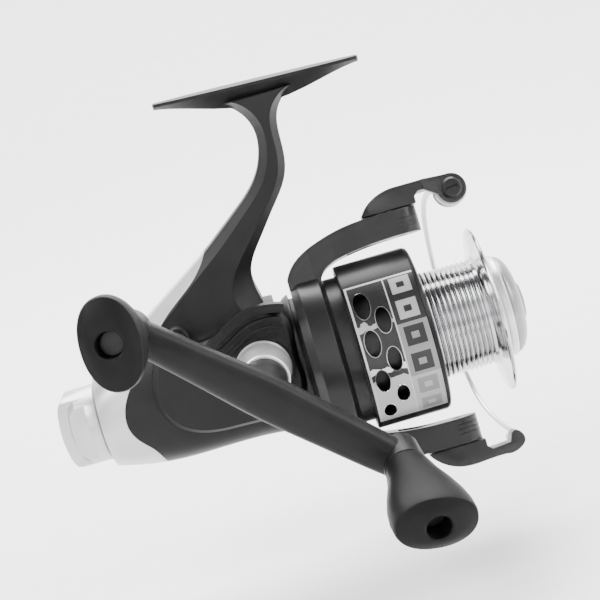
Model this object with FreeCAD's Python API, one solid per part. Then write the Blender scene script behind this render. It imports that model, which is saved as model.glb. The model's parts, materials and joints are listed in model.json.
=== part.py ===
import FreeCAD, Part
import math
import os

# Spinning reel with a rear drag and a double handle.
# Units are millimetres.  The mechanism is drawn with X = 0 on the crank axis, Z = 0 on the
# spool axis and Y = 0 in the middle plane; +X runs forward out of the spool, +Z towards the rod,
# and the handle is on the -Y side.  save() moves everything to the final frame, whose origin
# is the middle of the foot's flat top.

# ---- driving dimensions -------------------------------------------------------------------
FOOT_X = 21.3              # middle of the foot, ahead of the crank axis
FOOT_Z = 88.0              # foot top above the spool axis
FOOT_LENGTH = 62.6
FOOT_SLOPE = 2.5           # degrees, front end lower
CRANK_Z = 6.5              # crank axis above the spool axis
WALL = 2.2
COLLAR_R = 21.8            # round front collar of the body
REAR_X = -52.0             # rear end of the body
REAR_R = 14.7
SHAFT_R = 1.75             # main shaft
RUN = 0.05                 # running clearance on a radius
DRIVE_SHAFT_R = 3.5
BEARING_R = 7.0
BEARING_W = 3.5
COVER_Y = -12.2            # seat of the side cover
COVER_TOP_Y = -17.6
PINION_TEETH = 9
GEAR_TEETH = 40
GEAR_ROOT_Y = -3.4
GEAR_TIP_Y = -2.62
SLOT_ROOT_HALF = 0.42
SLOT_TIP_HALF = 0.95
PINION_PITCH_R = 2.75
PINION_TIP_R = 3.15
PINION_ROOT_R = 2.2
PINION_TOOTH = 0.66          # pinion tooth thickness on the pitch circle
BUSH_R = 3.4
OSC_PINION_TEETH = 12
OSC_GEAR_TEETH = 26
OSC_MODULE = 0.8
STROKE = 15.0
ROTOR_REST = -14.0         # degrees about the spool axis at rest
ROTOR_CUP_R = 23.0
ARM_IN = 29.6              # inside of the rotor arms
ARM_OUT = 37.5
BAIL_X = 52.5              # bail pivot axis
BAIL_BOSS_R = 6.1
POCKET_TOP = 32.6          # ceiling of the spring pocket in each arm
LEVER_IN = 37.8
LEVER_OUT = 44.3
WIRE_R = 0.9
ROLLER_X = 70.5
ROLLER_Z = 39.1
ROLLER_R = 5.2
SPOOL_R = 26.0
SKIRT_X0 = 28.5
SKIRT_X1 = 52.0
BARREL_R = 17.1
FLANGE_X = 71.8
ARM_Y0 = -55.5             # handle arm, outer face
ARM_Y1 = -46.5             # handle arm, inner face
HANDLE_R = 43.0            # crank axis to each knob spindle
HANDLE_DIP = 43.0          # degrees the front end of the arm points down
KNOB_LEAN = {-1: (7.0, -5.0), 1: (14.0, -7.0)}    # degrees outwards and across, rear and front
KNOB_BREADTH = {-1: 1.07, 1: 1.0}
KNOB_LENGTH = 30.0
NECK_END = 10.0
DRAG_KNOB_X0 = -64.4
DRAG_KNOB_X1 = -52.4
DRAG_KNOB_R = 12.0

X_AXIS = FreeCAD.Vector(1, 0, 0)
Y_AXIS = FreeCAD.Vector(0, 1, 0)
Z_AXIS = FreeCAD.Vector(0, 0, 1)
ORIGIN = FreeCAD.Vector(0, 0, 0)

os.makedirs("parts", exist_ok=True)


# ---- helpers --------------------------------------------------------------------------------
def vec(x, y, z):
    return FreeCAD.Vector(x, y, z)


def rod_x(x0, x1, radius, y=0.0, z=0.0):
    return Part.makeCylinder(radius, x1 - x0, vec(x0, y, z), X_AXIS)


def rod_y(y0, y1, radius, x=0.0, z=CRANK_Z):
    return Part.makeCylinder(radius, y1 - y0, vec(x, y0, z), Y_AXIS)


def rod_z(z0, z1, radius, x=0.0, y=0.0):
    return Part.makeCylinder(radius, z1 - z0, vec(x, y, z0), Z_AXIS)


def tube_x(x0, x1, outer, inner, y=0.0, z=0.0):
    return rod_x(x0, x1, outer, y, z).cut(rod_x(x0 - 1, x1 + 1, inner, y, z))


def tube_y(y0, y1, outer, inner, x=0.0, z=CRANK_Z):
    return rod_y(y0, y1, outer, x, z).cut(rod_y(y0 - 1, y1 + 1, inner, x, z))


def block(x0, x1, y0, y1, z0, z1):
    return Part.makeBox(x1 - x0, y1 - y0, z1 - z0, vec(x0, y0, z0))


def turned_x(profile):
    """Solid of revolution about the spool axis from (x, radius) corners."""
    corners = [vec(x, 0, r) for x, r in profile]
    face = Part.Face(Part.makePolygon(corners + corners[:1]))
    return face.revolve(ORIGIN, X_AXIS, 360)


def turned_y(profile, x=0.0, z=CRANK_Z):
    """Solid of revolution about a cross axis from (y, radius) corners."""
    corners = [vec(x + r, y, z) for y, r in profile]
    face = Part.Face(Part.makePolygon(corners + corners[:1]))
    return face.revolve(vec(x, 0, z), Y_AXIS, 360)


def smooth_loop(points):
    curve = Part.BSplineCurve()
    curve.interpolate(points, PeriodicFlag=True)
    return Part.Wire([curve.toShape()])


def smooth_line(points):
    curve = Part.BSplineCurve()
    curve.interpolate(points)
    return curve.toShape()


def plate_xz(outline, y0, y1, smooth=False):
    """Plate with an (x, z) outline between two Y planes."""
    points = [vec(x, y0, z) for x, z in outline]
    if smooth:
        wire = smooth_loop(points)
    else:
        wire = Part.makePolygon(points + points[:1])
    return Part.Face(wire).extrude(vec(0, y1 - y0, 0))


def plate_of_runs(runs, y0, y1):
    """Plate whose (x, z) outline is a chain of runs: two points are straight, more are a curve."""
    edges = []
    for run in runs:
        points = [vec(x, y0, z) for x, z in run]
        if len(points) == 2:
            edges.append(Part.LineSegment(points[0], points[1]).toShape())
        else:
            edges.append(smooth_line(points))
    return Part.Face(Part.Wire(edges)).extrude(vec(0, y1 - y0, 0))


def plate_xy(outline, z0, z1):
    points = [vec(x, y, z0) for x, y in outline]
    return Part.Face(Part.makePolygon(points + points[:1])).extrude(vec(0, 0, z1 - z0))


def shrunk(outline, factor):
    """Outline drawn in about its own middle."""
    mid_x = sum(p[0] for p in outline) / len(outline)
    mid_z = sum(p[1] for p in outline) / len(outline)
    return [(mid_x + (x - mid_x) * factor, mid_z + (z - mid_z) * factor) for x, z in outline]


def ellipse_loop(centre, half_a, half_b, along_a, along_b, power=2.0, count=24):
    """Closed smooth superellipse round centre in the plane of two directions."""
    points = []
    for k in range(count):
        angle = 2 * math.pi * k / count
        c = math.cos(angle)
        s = math.sin(angle)
        a = half_a * math.copysign(abs(c) ** (2 / power), c)
        b = half_b * math.copysign(abs(s) ** (2 / power), s)
        points.append(centre + along_a * a + along_b * b)
    return smooth_loop(points)


def joined(shapes):
    result = shapes[0]
    for shape in shapes[1:]:
        result = result.fuse(shape)
    return result


def turned_to_rest(shape):
    """Rotor parts are drawn upright and parked a little round the spool axis."""
    copy = shape.copy()
    copy.rotate(ORIGIN, X_AXIS, ROTOR_REST)
    return copy


def tube_along(points, radius):
    """Round rod on straight runs joined by the largest tangent arcs that fit."""
    edges = []
    start = points[0]
    for k in range(1, len(points) - 1):
        before = points[k] - points[k - 1]
        after = points[k + 1] - points[k]
        half_turn = before.getAngle(after) / 2
        reach = 0.48 * min(before.Length, after.Length)
        before.normalize()
        after.normalize()
        arc_in = points[k] - before * reach
        arc_out = points[k] + after * reach
        bend = reach / math.tan(half_turn)
        centre_way = after - before
        centre_way.normalize()
        middle = points[k] + centre_way * (bend / math.cos(half_turn) - bend)
        edges.append(Part.LineSegment(start, arc_in).toShape())
        edges.append(Part.Arc(arc_in, middle, arc_out).toShape())
        start = arc_out
    edges.append(Part.LineSegment(start, points[-1]).toShape())
    path = Part.Wire(edges)
    first = points[1] - points[0]
    ring = Part.Wire([Part.makeCircle(radius, points[0], first)])
    return path.makePipeShell([ring], True, False)


def save(node, shape):
    shape = shape.copy()
    shape.translate(vec(-FOOT_X, 0, -FOOT_Z))
    solids = shape.Solids
    shape = solids[0] if len(solids) == 1 else Part.makeCompound(solids)
    shape.exportStep("parts/" + node + ".step")
    print(node, len(solids), "solids", round(shape.Volume), "mm3", shape.isValid())


# ---- body casing ----------------------------------------------------------------------------
# Vertical sections of the barrel-shaped casing: x, lowest z, highest z, half width, squareness.
HULL = [
    (REAR_X, -REAR_R, REAR_R, REAR_R, 2.0),
    (-46.0, -15.9, 17.4, 15.4, 2.3),
    (-36.0, -17.3, 20.5, 15.9, 2.6),
    (-22.0, -17.5, 22.5, 16.2, 2.9),
    (-8.0, -17.5, 23.2, 16.3, 2.9),
    (8.0, -19.5, 23.0, 16.8, 2.6),
]

# Level sections of the stem: z, rear x, front x, half width, rear edge half width and bevel,
# front edge half width and bevel.
STEM = [
    (12.0, -50.0, 5.0, 12.0, 5.0, 9.0, 6.0, 4.0),
    (20.0, -43.0, 5.0, 11.5, 4.2, 8.0, 5.0, 5.0),
    (27.0, -31.6, 4.4, 10.2, 3.6, 7.0, 4.4, 7.0),
    (34.0, -20.7, 4.6, 8.8, 3.2, 5.6, 3.6, 5.4),
    (42.6, -7.6, 10.3, 7.5, 3.0, 4.6, 3.0, 3.8),
    (50.0, 2.2, 16.2, 6.7, 2.9, 4.0, 2.9, 3.1),
    (60.0, 13.2, 22.8, 6.2, 2.8, 3.0, 2.9, 2.5),
    (67.0, 16.5, 23.9, 6.1, 2.8, 2.6, 2.9, 2.2),
    (74.0, 17.0, 24.3, 6.4, 2.9, 2.6, 3.0, 2.3),
    (79.5, 14.7, 26.5, 7.2, 3.2, 3.0, 3.4, 2.6),
    (84.0, 9.0, 33.0, 8.2, 3.8, 3.6, 4.2, 3.2),
]

FOOT_SECTIONS = 17
FOOT_END_HALF = 2.6        # half width of each end of the foot
FOOT_MID_HALF = 8.9
FOOT_END_THICK = 1.8
FOOT_MID_THICK = 7.2

# Edge of the silver rear cover on the flank, from the tip on the stem to the underside.
COVER_LINE = [
    (-7.2, 44.0), (-11.0, 38.2), (-19.7, 31.2), (-27.3, 24.9), (-32.6, 18.6), (-38.6, 12.8),
    (-43.0, 6.4), (-44.2, 0.0), (-42.2, -5.2), (-38.9, -9.4), (-37.1, -14.0), (-36.8, -19.0),
]

# Outline of the D-shaped side cover.
COVER_D = [
    (-29.6, 18.2), (-33.2, 10.8), (-33.6, 3.0), (-30.7, -3.4), (-24.0, -7.8), (-8.6, -9.6),
    (4.8, -8.6), (10.4, -4.0), (11.2, 8.0), (10.6, 19.0), (4.0, 24.0), (-6.2, 21.6),
    (-14.4, 18.9), (-22.0, 19.4),
]
LIP_CENTRE = (3.5, 5.0)
LIP_R = 20.2
LIP_END = 119.0            # degrees, where the lip runs on straight
DRAG_BORE_R = 12.2
DIVIDER_X = -31.0
SWITCH_X = 0.0
SWITCH_Z = -10.0


def hull_shape(inset, x_from, x_to):
    wires = []
    for x, low, high, half, power in HULL:
        mid = vec(x, 0, (low + high) / 2)
        tall = (high - low) / 2 - inset
        wires.append(ellipse_loop(mid, half - inset, tall, Y_AXIS, Z_AXIS, power))
    hull = Part.makeLoft(wires, True, False)
    return hull.common(block(x_from, x_to, -40, 40, -40, 60))


def stem_shape():
    wires = []
    for z, rear, front, half, rear_half, rear_bevel, front_half, front_bevel in STEM:
        side = [
            (rear, rear_half), (rear + rear_bevel, half), (front - front_bevel, half),
            (front, front_half),
        ]
        loop = [vec(x, y, z) for x, y in side] + [vec(x, -y, z) for x, y in reversed(side)]
        wires.append(Part.makePolygon(loop + loop[:1]))
    return Part.makeLoft(wires, True, False)


def foot_top(x):
    return FOOT_Z - (x - FOOT_X) * math.tan(math.radians(FOOT_SLOPE))


def foot_shape():
    """Boat-shaped foot: flat on top, bevelled underneath, thin and narrow at both ends."""
    wires = []
    edge = 0.9
    for k in range(FOOT_SECTIONS + 1):
        along = (1 - math.cos(math.pi * k / FOOT_SECTIONS)) / 2
        x = FOOT_X + FOOT_LENGTH * (along - 0.5)
        bulge = math.sin(math.pi * along)
        top_half = FOOT_END_HALF + (FOOT_MID_HALF - FOOT_END_HALF) * bulge ** 0.55
        thick = FOOT_END_THICK + (FOOT_MID_THICK - FOOT_END_THICK) * bulge ** 1.5
        top = foot_top(x)
        side = [(top_half, top), (top_half, top - edge), (0.5 * top_half, top - thick)]
        loop = [vec(x, y, z) for y, z in side] + [vec(x, -y, z) for y, z in reversed(side)]
        wires.append(Part.makePolygon(loop + loop[:1]))
    return Part.makeLoft(wires, True, True)


def collar_shape():
    return turned_x([
        (4.0, 0.0), (4.0, 16.0), (8.5, 19.2), (11.0, 21.2), (12.0, COLLAR_R), (12.6, COLLAR_R),
        (12.6, 20.4), (17.2, 20.4), (17.2, 10.0), (24.2, 10.0), (24.2, 0.0),
    ])


def rear_region():
    line = smooth_line([vec(x, -40, z) for x, z in COVER_LINE])
    first = vec(COVER_LINE[0][0], -40, COVER_LINE[0][1])
    last = vec(COVER_LINE[-1][0], -40, COVER_LINE[-1][1])
    corners = [last, vec(-37, -40, -30), vec(-70, -40, -30), vec(-70, -40, 60), vec(-7.2, -40, 60), first]
    edges = [line]
    for a, b in zip(corners[:-1], corners[1:]):
        edges.append(Part.LineSegment(a, b).toShape())
    return Part.Face(Part.Wire(edges)).extrude(vec(0, 80, 0))


def casing_outside():
    far_boss = rod_y(3.0, 18.0, 9.7)
    ear_post = rod_y(COVER_Y, -2.0, EAR_R, EAR_X, EAR_Z)
    hull = hull_shape(0.0, -60, 8.0)
    return joined([hull, far_boss, ear_post, stem_shape(), collar_shape(), foot_shape()])


def screw_pillar():
    """Post inside the casing that takes the lower screw of the side cover."""
    x, z = COVER_SCREWS[0]
    root = block(x - 2.4, x + 2.4, COVER_Y, PILLAR_END_Y, -14.0, z)
    return rod_y(COVER_Y, PILLAR_END_Y, 2.4, x, z).fuse(root)


def bush_web():
    """Web that holds the rear bush of the pinion, scooped out where the drive gear turns."""
    web = rod_x(5.8, 7.7, 4.6).fuse(block(5.8, 7.7, 0.0, 4.0, -4.6, 4.6))
    return web.cut(tube_y(-6.0, -2.2, 15.6, 10.9))


def casing_room():
    """Space for the gears and the slider, less the bosses and webs that stand in it."""
    room = hull_shape(WALL, DIVIDER_X + 2.0, 7.4).fuse(gear_room())
    solid_parts = [
        block(5.2, 30, 2.0, 30, -30, 30),
        rod_y(10.9, 30.0, 9.7),
        rod_y(11.2, 30.0, 4.2, OSC_X, CRANK_Z),
        rod_y(12.0, 30.0, 3.6, SWITCH_X, SWITCH_Z),
        block(-1.0, 1.6, 3.2, 12.6, -20.0, -5.6),
        bush_web(),
        screw_pillar(),
    ]
    for piece in solid_parts:
        room = room.cut(piece)
    return room


def gear_room():
    return rod_y(-13.0, -1.9, 15.5)


def body_housing(outside, region):
    body = outside.cut(region).cut(casing_room())
    body = body.cut(plate_xz(COVER_D, -40, COVER_Y, smooth=True))
    opening = plate_xz(shrunk(COVER_D, 0.88), -20, -5, smooth=True)
    body = body.cut(opening.cut(screw_pillar()))
    body = body.cut(rod_x(-60, DIVIDER_X, DRAG_BORE_R))
    body = body.cut(rod_x(DIVIDER_X - 1, DIVIDER_X + 3, 2.4))
    body = body.cut(rod_y(10.0, 14.4, BEARING_R))
    body = body.cut(rod_y(10.0, 19.0, 4.2))
    body = body.cut(rod_y(18.0, 30.0, 9.6))
    body = body.cut(rod_y(-40, COVER_Y, EAR_R, EAR_X, EAR_Z))
    body = body.cut(rod_y(9.0, 15.0, 2.0, OSC_X, CRANK_Z))
    body = body.cut(rod_y(9.0, 20.0, 1.5 + RUN, SWITCH_X, SWITCH_Z))
    body = body.cut(rod_x(5.0, 8.0, BUSH_R))
    body = body.cut(rod_x(7.7, 16.4, 3.9))
    body = body.cut(rod_y(7.6, 10.9, 6.0))
    body = body.cut(rod_y(7.6, 10.9, 11.6, OSC_X))
    body = body.cut(rod_x(16.4, 20.3, BEARING_R))
    body = body.cut(rod_x(20.3, 25.0, 9.0))
    for y in GUIDE_Y:
        body = body.cut(rod_x(-30.4, 1.0, 1.2, y, GUIDE_Z))
    for x, z in COVER_SCREWS:
        body = body.cut(rod_y(COVER_Y - 4, COVER_Y + 7, 1.25, x, z))
    for y, z in REAR_SCREWS:
        body = body.cut(rod_x(-50, -34, 0.75, y, z))
    return body


def rear_cover(outside, region):
    cover = outside.common(region)
    cover = cover.cut(rod_x(-50.4, -20, DRAG_BORE_R))
    cover = cover.cut(rod_x(-60, -50, 4.4))
    for y, z in REAR_SCREWS:
        cover = cover.cut(rod_x(-60, -30, 0.8, y, z))
        cover = cover.cut(rod_x(-60, -50.0, 1.3, y, z))
    return cover


# ---- side cover -----------------------------------------------------------------------------
EAR_X = -22.0
EAR_Z = 21.6
EAR_R = 3.4
PILLAR_END_Y = -8.0
SCREW_SEAT_Y = -15.0
COVER_SCREWS = [(3.0, -5.2), (EAR_X, EAR_Z)]
REAR_SCREWS = [(-9.44, -9.44), (9.44, -9.44)]


def hub_band(outer, width, y0, y1, leg):
    """Raised band round the top of the hub, running on straight to the rear."""
    cx, cz = LIP_CENTRE
    disc = rod_y(y0, y1, outer, cx, cz).cut(rod_y(y0 - 1, y1 + 1, outer - width, cx, cz))
    start = math.radians(68.0)
    end = math.radians(LIP_END)
    reach = outer + 5
    wedge = [(cx, cz)]
    for step in range(4):
        a = start + (end - start) * step / 3
        wedge.append((cx + reach * 1.2 * math.cos(a), cz + reach * 1.2 * math.sin(a)))
    band = disc.common(plate_xz(wedge, y0, y1))
    along = (-math.sin(end), math.cos(end))
    near = (cx + (outer - width) * math.cos(end), cz + (outer - width) * math.sin(end))
    far = (cx + outer * math.cos(end), cz + outer * math.sin(end))
    straight = [
        near, far,
        (far[0] + along[0] * leg, far[1] + along[1] * leg),
        (near[0] + along[0] * (leg - 0.6), near[1] + along[1] * (leg - 0.6)),
    ]
    return band.fuse(plate_xz(straight, y0, y1))


def side_cover():
    low = smooth_loop([vec(x, -15.9, z) for x, z in COVER_D])
    high = smooth_loop([vec(x, COVER_TOP_Y, z) for x, z in shrunk(COVER_D, 0.93)])
    rim = plate_xz(COVER_D, -15.9, COVER_Y, smooth=True)
    crown = Part.makeLoft([low, high], True, True)
    cover = rim.fuse(crown)
    cover = cover.cut(plate_xz(shrunk(COVER_D, 0.86), -15.2, -8, smooth=True))
    cover = cover.fuse(hub_band(LIP_R, 2.6, -19.0, -15.6, 9.6))
    cover = cover.fuse(hub_band(16.2, 1.0, -18.4, -16.6, 9.0))
    cover = cover.fuse(hub_band(13.6, 0.9, -18.2, -16.6, 8.0))
    cover = cover.fuse(hub_band(11.4, 0.8, -18.0, -16.6, 6.0))
    cover = cover.fuse(rod_y(-17.9, -12.6, 9.6))
    cover = cover.cut(rod_y(-16.6, -12.0, BEARING_R))
    cover = cover.cut(rod_y(-20, -12, 4.0))
    cover = cover.fuse(rod_y(-15.9, COVER_Y, EAR_R, EAR_X, EAR_Z))
    for x, z in COVER_SCREWS:
        cover = cover.fuse(rod_y(-15.9, COVER_Y, 2.6, x, z))
        cover = cover.cut(rod_y(-20, -10, 1.3, x, z))
        cover = cover.cut(rod_y(-20, SCREW_SEAT_Y, 2.45, x, z))
    return cover.removeSplitter()


def screw_y(x, z, y_head, head_r, head_h, shank_r, length):
    """Pan-head screw driven towards +Y, with a cross recess."""
    screw = rod_y(y_head, y_head + head_h, head_r, x, z)
    screw = screw.fuse(rod_y(y_head + head_h, y_head + head_h + length, shank_r, x, z))
    for dx, dz in ((head_r * 0.6, 0.32), (0.32, head_r * 0.6)):
        screw = screw.cut(block(x - dx, x + dx, y_head - 1, y_head + head_h * 0.55, z - dz, z + dz))
    return screw


def side_cover_screws():
    top = SCREW_SEAT_Y - 1.5
    return Part.makeCompound([screw_y(x, z, top, 2.3, 1.5, 1.2, 6.8) for x, z in COVER_SCREWS])


def rear_cover_screws():
    screws = []
    for y, z in REAR_SCREWS:
        screw = rod_x(-51.4, -50.0, 1.25, y, z).fuse(rod_x(-50.0, -35.0, 0.7, y, z))
        screw = screw.cut(block(-52.0, -50.8, y - 0.9, y + 0.9, z - 0.25, z + 0.25))
        screws.append(screw)
    return Part.makeCompound(screws)


# ---- oscillation (level wind) ---------------------------------------------------------------
OSC_PINION_R = OSC_PINION_TEETH * OSC_MODULE / 2
OSC_GEAR_R = OSC_GEAR_TEETH * OSC_MODULE / 2
OSC_X = -(OSC_PINION_R + OSC_GEAR_R)
OSC_PIN_R = STROKE / 2
SLIDER_X = OSC_X - OSC_PIN_R      # the slider is parked at the rear end of its stroke
GUIDE_Y = (5.4, 9.4)
GUIDE_Z = -8.0


def spur_outline(teeth, root, pitch, tip, thick, phase):
    """Straight-flanked tooth outline as (x, z) corners about the origin."""
    corners = []
    for k in range(teeth):
        middle = 2 * math.pi * k / teeth + phase
        for radius, half in ((root, thick * 0.62), (pitch, thick * 0.5), (tip, thick * 0.24)):
            corners.append((radius, middle - half / radius))
        for radius, half in ((tip, thick * 0.24), (pitch, thick * 0.5), (root, thick * 0.62)):
            corners.append((radius, middle + half / radius))
    return [(r * math.cos(a), r * math.sin(a)) for r, a in corners]


def spur_gear(teeth, centre_x, y0, y1, phase):
    pitch = teeth * OSC_MODULE / 2
    outline = spur_outline(teeth, pitch - 1.0, pitch, pitch + 0.7, 1.05, phase)
    return plate_xz([(centre_x + x, CRANK_Z + z) for x, z in outline], y0, y1)


def osc_pinion():
    return spur_gear(OSC_PINION_TEETH, 0.0, 8.0, 10.5, math.pi).cut(rod_y(7, 12, DRIVE_SHAFT_R))


def osc_gear():
    gear = spur_gear(OSC_GEAR_TEETH, OSC_X, 8.0, 10.5, math.pi / OSC_GEAR_TEETH)
    gear = gear.cut(rod_y(7, 12, 2.0 + RUN, OSC_X))
    for k in (1, 2, 3, 4, 5):
        a = math.pi + k * math.pi / 3
        gear = gear.cut(rod_y(7, 12, 1.7, OSC_X + 6.2 * math.cos(a), CRANK_Z + 6.2 * math.sin(a)))
    return gear.fuse(rod_y(7.0, 8.5, 1.2, OSC_X - OSC_PIN_R))


def osc_axle():
    return rod_y(7.4, 15.0, 2.0, OSC_X).fuse(rod_y(7.0, 7.4, 2.8, OSC_X))


def slider():
    plate = block(SLIDER_X - 2.5, SLIDER_X + 2.5, 4.2, 6.8, GUIDE_Z - 2.2, CRANK_Z + 10.8)
    slot = block(SLIDER_X - 1.3, SLIDER_X + 1.3, 3, 8, CRANK_Z - 8.8, CRANK_Z + 9.2)
    shoe = block(SLIDER_X - 2.5, SLIDER_X + 2.5, 3.6, 11.2, GUIDE_Z - 2.2, GUIDE_Z + 2.4)
    fork = block(SLIDER_X - 1.0, SLIDER_X + 1.0, -2.2, 4.4, -3.2, 3.2)
    notch = rod_x(SLIDER_X - 2, SLIDER_X + 2, SHAFT_R + RUN)
    mouth = block(SLIDER_X - 2, SLIDER_X + 2, -3, 0, -SHAFT_R - RUN, SHAFT_R + RUN)
    body = plate.cut(slot).fuse(shoe).fuse(fork).cut(notch).cut(mouth)
    for y in GUIDE_Y:
        body = body.cut(rod_x(SLIDER_X - 4, SLIDER_X + 4, 1.2 + RUN, y, GUIDE_Z))
    return body.removeSplitter()


def guide_rods():
    return Part.makeCompound([rod_x(-30.4, 1.0, 1.2, y, GUIDE_Z) for y in GUIDE_Y])


# ---- crank train ----------------------------------------------------------------------------
def drive_shaft():
    shaft = rod_y(-34.0, 16.0, DRIVE_SHAFT_R)
    return shaft.cut(rod_y(6.0, 17.0, 2.0))


def gear_slot():
    """Tooth space of the drive gear: a V slot along the line where it meets the pinion."""
    corners = [(GEAR_ROOT_Y, SLOT_ROOT_HALF), (GEAR_TIP_Y + 0.3, SLOT_TIP_HALF)]
    loop = [vec(8.0, y, half) for y, half in corners]
    loop += [vec(8.0, y, -half) for y, half in reversed(corners)]
    return Part.Face(Part.makePolygon(loop + loop[:1])).extrude(vec(8.0, 0, 0))


def drive_gear():
    """Face gear: skew slots let its ring mesh with a pinion that passes below its axis."""
    gear = turned_y([
        (-12.7, DRIVE_SHAFT_R), (-12.7, 5.2), (-7.5, 5.2), (-7.5, 14.9), (GEAR_TIP_Y, 14.9),
        (GEAR_TIP_Y, 11.9), (-5.4, 11.2), (-5.4, 5.2), (-4.6, 5.2), (-4.6, DRIVE_SHAFT_R),
    ])
    slots = []
    for k in range(GEAR_TEETH):
        slot = gear_slot()
        slot.rotate(vec(0, 0, CRANK_Z), Y_AXIS, 360.0 * k / GEAR_TEETH)
        slots.append(slot)
    return gear.cut(Part.makeCompound(slots))


def bearing_balls(ring_axis_y, y_mid, x_mid):
    balls = []
    for k in range(9):
        a = 2 * math.pi * k / 9
        if ring_axis_y:
            place = vec(5.25 * math.cos(a), y_mid, CRANK_Z + 5.25 * math.sin(a))
        else:
            place = vec(x_mid, 5.25 * math.cos(a), 5.25 * math.sin(a))
        balls.append(Part.makeSphere(0.95, place))
    return balls


def bearing_y(y0):
    """Ball bearing on the crank axis: two rings and nine balls."""
    inner = tube_y(y0, y0 + BEARING_W, 4.25, DRIVE_SHAFT_R + RUN)
    outer = tube_y(y0, y0 + BEARING_W, BEARING_R, 6.25)
    return Part.makeCompound([inner, outer] + bearing_balls(True, y0 + BEARING_W / 2, 0))


def bearing_x(x0):
    inner = tube_x(x0, x0 + BEARING_W, 4.25, 3.5 + RUN)
    outer = tube_x(x0, x0 + BEARING_W, BEARING_R, 6.25)
    return Part.makeCompound([inner, outer] + bearing_balls(False, 0, x0 + BEARING_W / 2))


def crank_collar():
    return turned_y([
        (-18.2, DRIVE_SHAFT_R), (-18.2, 8.3), (-19.0, 8.6), (-19.8, 8.3), (-31.2, 7.3),
        (-32.2, 7.5), (-32.8, 7.2), (-32.8, DRIVE_SHAFT_R),
    ])


def far_cap():
    cap = turned_y([
        (18.2, 0.0), (18.2, 8.6), (20.6, 9.0), (22.2, 8.2), (22.8, 6.8), (22.8, 0.0),
    ])
    cap = cap.fuse(rod_y(8.0, 18.5, 2.0))
    for k in range(18):
        a = 2 * math.pi * k / 18
        x = 9.3 * math.cos(a)
        z = CRANK_Z + 9.3 * math.sin(a)
        cap = cap.cut(rod_y(18.0, 23.0, 0.75, x, z))
    return cap.cut(block(-5.0, 5.0, 21.8, 24.0, CRANK_Z - 0.7, CRANK_Z + 0.7))


ARM_UNIT = vec(math.cos(math.radians(HANDLE_DIP)), 0, -math.sin(math.radians(HANDLE_DIP)))
ARM_CROSS = vec(math.sin(math.radians(HANDLE_DIP)), 0, math.cos(math.radians(HANDLE_DIP)))
CRANK_POINT = vec(0, 0, CRANK_Z)


# Half widths of the crank arm: distance along it from the crank axis, half width.
ARM_WIDTHS = [(-46.0, 4.0), (-40.0, 4.6), (-20.0, 5.5), (0.0, 6.4), (20.0, 6.0), (40.0, 5.3), (46.0, 4.6)]


def handle_arm():
    """Oval-section bar, widest at the hub, with a boss that drops into the collar."""
    mid_y = (ARM_Y0 + ARM_Y1) / 2
    half_thick = (ARM_Y1 - ARM_Y0) / 2
    wires = []
    for along, half in ARM_WIDTHS:
        centre = CRANK_POINT + ARM_UNIT * along + vec(0, mid_y, 0)
        wires.append(ellipse_loop(centre, half, half_thick, ARM_CROSS, Y_AXIS, 2.5))
    arm = Part.makeLoft(wires, True, False)
    boss = turned_y([
        (-50.0, 0.0), (-50.0, 6.3), (-40.0, 6.3), (-32.9, 6.7), (-32.9, DRIVE_SHAFT_R),
        (-34.1, DRIVE_SHAFT_R), (-34.1, 0.0),
    ])
    arm = arm.fuse(boss)
    for side in (-1, 1):
        arm = arm.fuse(knob_seat(side))
    for side in (-1, 1):
        arm = arm.cut(spindle_rod(side, -12.0, 8.0, 1.9))
    return arm


def knob_base(side):
    """Middle of the knob's seat on the outer face of the arm; side -1 is the rear knob."""
    return CRANK_POINT + ARM_UNIT * (side * HANDLE_R) + vec(0, ARM_Y0 - 0.7, 0)


def knob_way(side):
    out, across = [math.tan(math.radians(side * lean)) for lean in KNOB_LEAN[side]]
    way = ARM_UNIT * out + ARM_CROSS * across - Y_AXIS
    way.normalize()
    return way


def knob_seat(side):
    way = knob_way(side)
    start = knob_base(side) - way * 9.6
    return Part.makeCylinder(6.2, 9.4, start, way)


def spindle_rod(side, low, high, radius):
    way = knob_way(side)
    return Part.makeCylinder(radius, high - low, knob_base(side) + way * low, way)


def knob(side):
    """Paddle grip: round at the neck, a wide oval at the end, with a screw well."""
    way = knob_way(side)
    flat = vec(0, 0, 1) if side < 0 else vec(0.974, 0, -0.225)
    broad = flat - way * flat.dot(way)
    broad.normalize()
    thin = way.cross(broad)
    wires = []
    sections = [
        (0.2, 5.3, 5.3), (1.4, 6.1, 6.1), (8.0, 6.5, 6.3), (14.0, 8.3, 6.8), (19.0, 10.3, 7.4),
        (23.5, 11.5, 7.8), (27.0, 11.2, 7.6), (29.2, 9.6, 6.4), (KNOB_LENGTH, 7.2, 4.8),
    ]
    for along, half_broad, half_thin in sections:
        spread = KNOB_BREADTH[side] if along > NECK_END else 1.0
        centre = knob_base(side) + way * along
        wires.append(ellipse_loop(centre, half_broad * spread, half_thin, broad, thin, 2.15))
    grip = Part.makeLoft(wires, True, False)
    grip = grip.cut(spindle_rod(side, -1.0, KNOB_LENGTH + 2, 1.9 + RUN))
    return grip.cut(spindle_rod(side, KNOB_LENGTH - 8.0, KNOB_LENGTH + 2, 3.5))


def knob_spindle(side):
    """Pin through the grip with a slotted head at the bottom of the well."""
    pin = spindle_rod(side, -9.4, KNOB_LENGTH - 7.6, 1.9)
    head = spindle_rod(side, KNOB_LENGTH - 7.8, KNOB_LENGTH - 6.0, 3.2)
    return pin.fuse(head)


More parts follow.
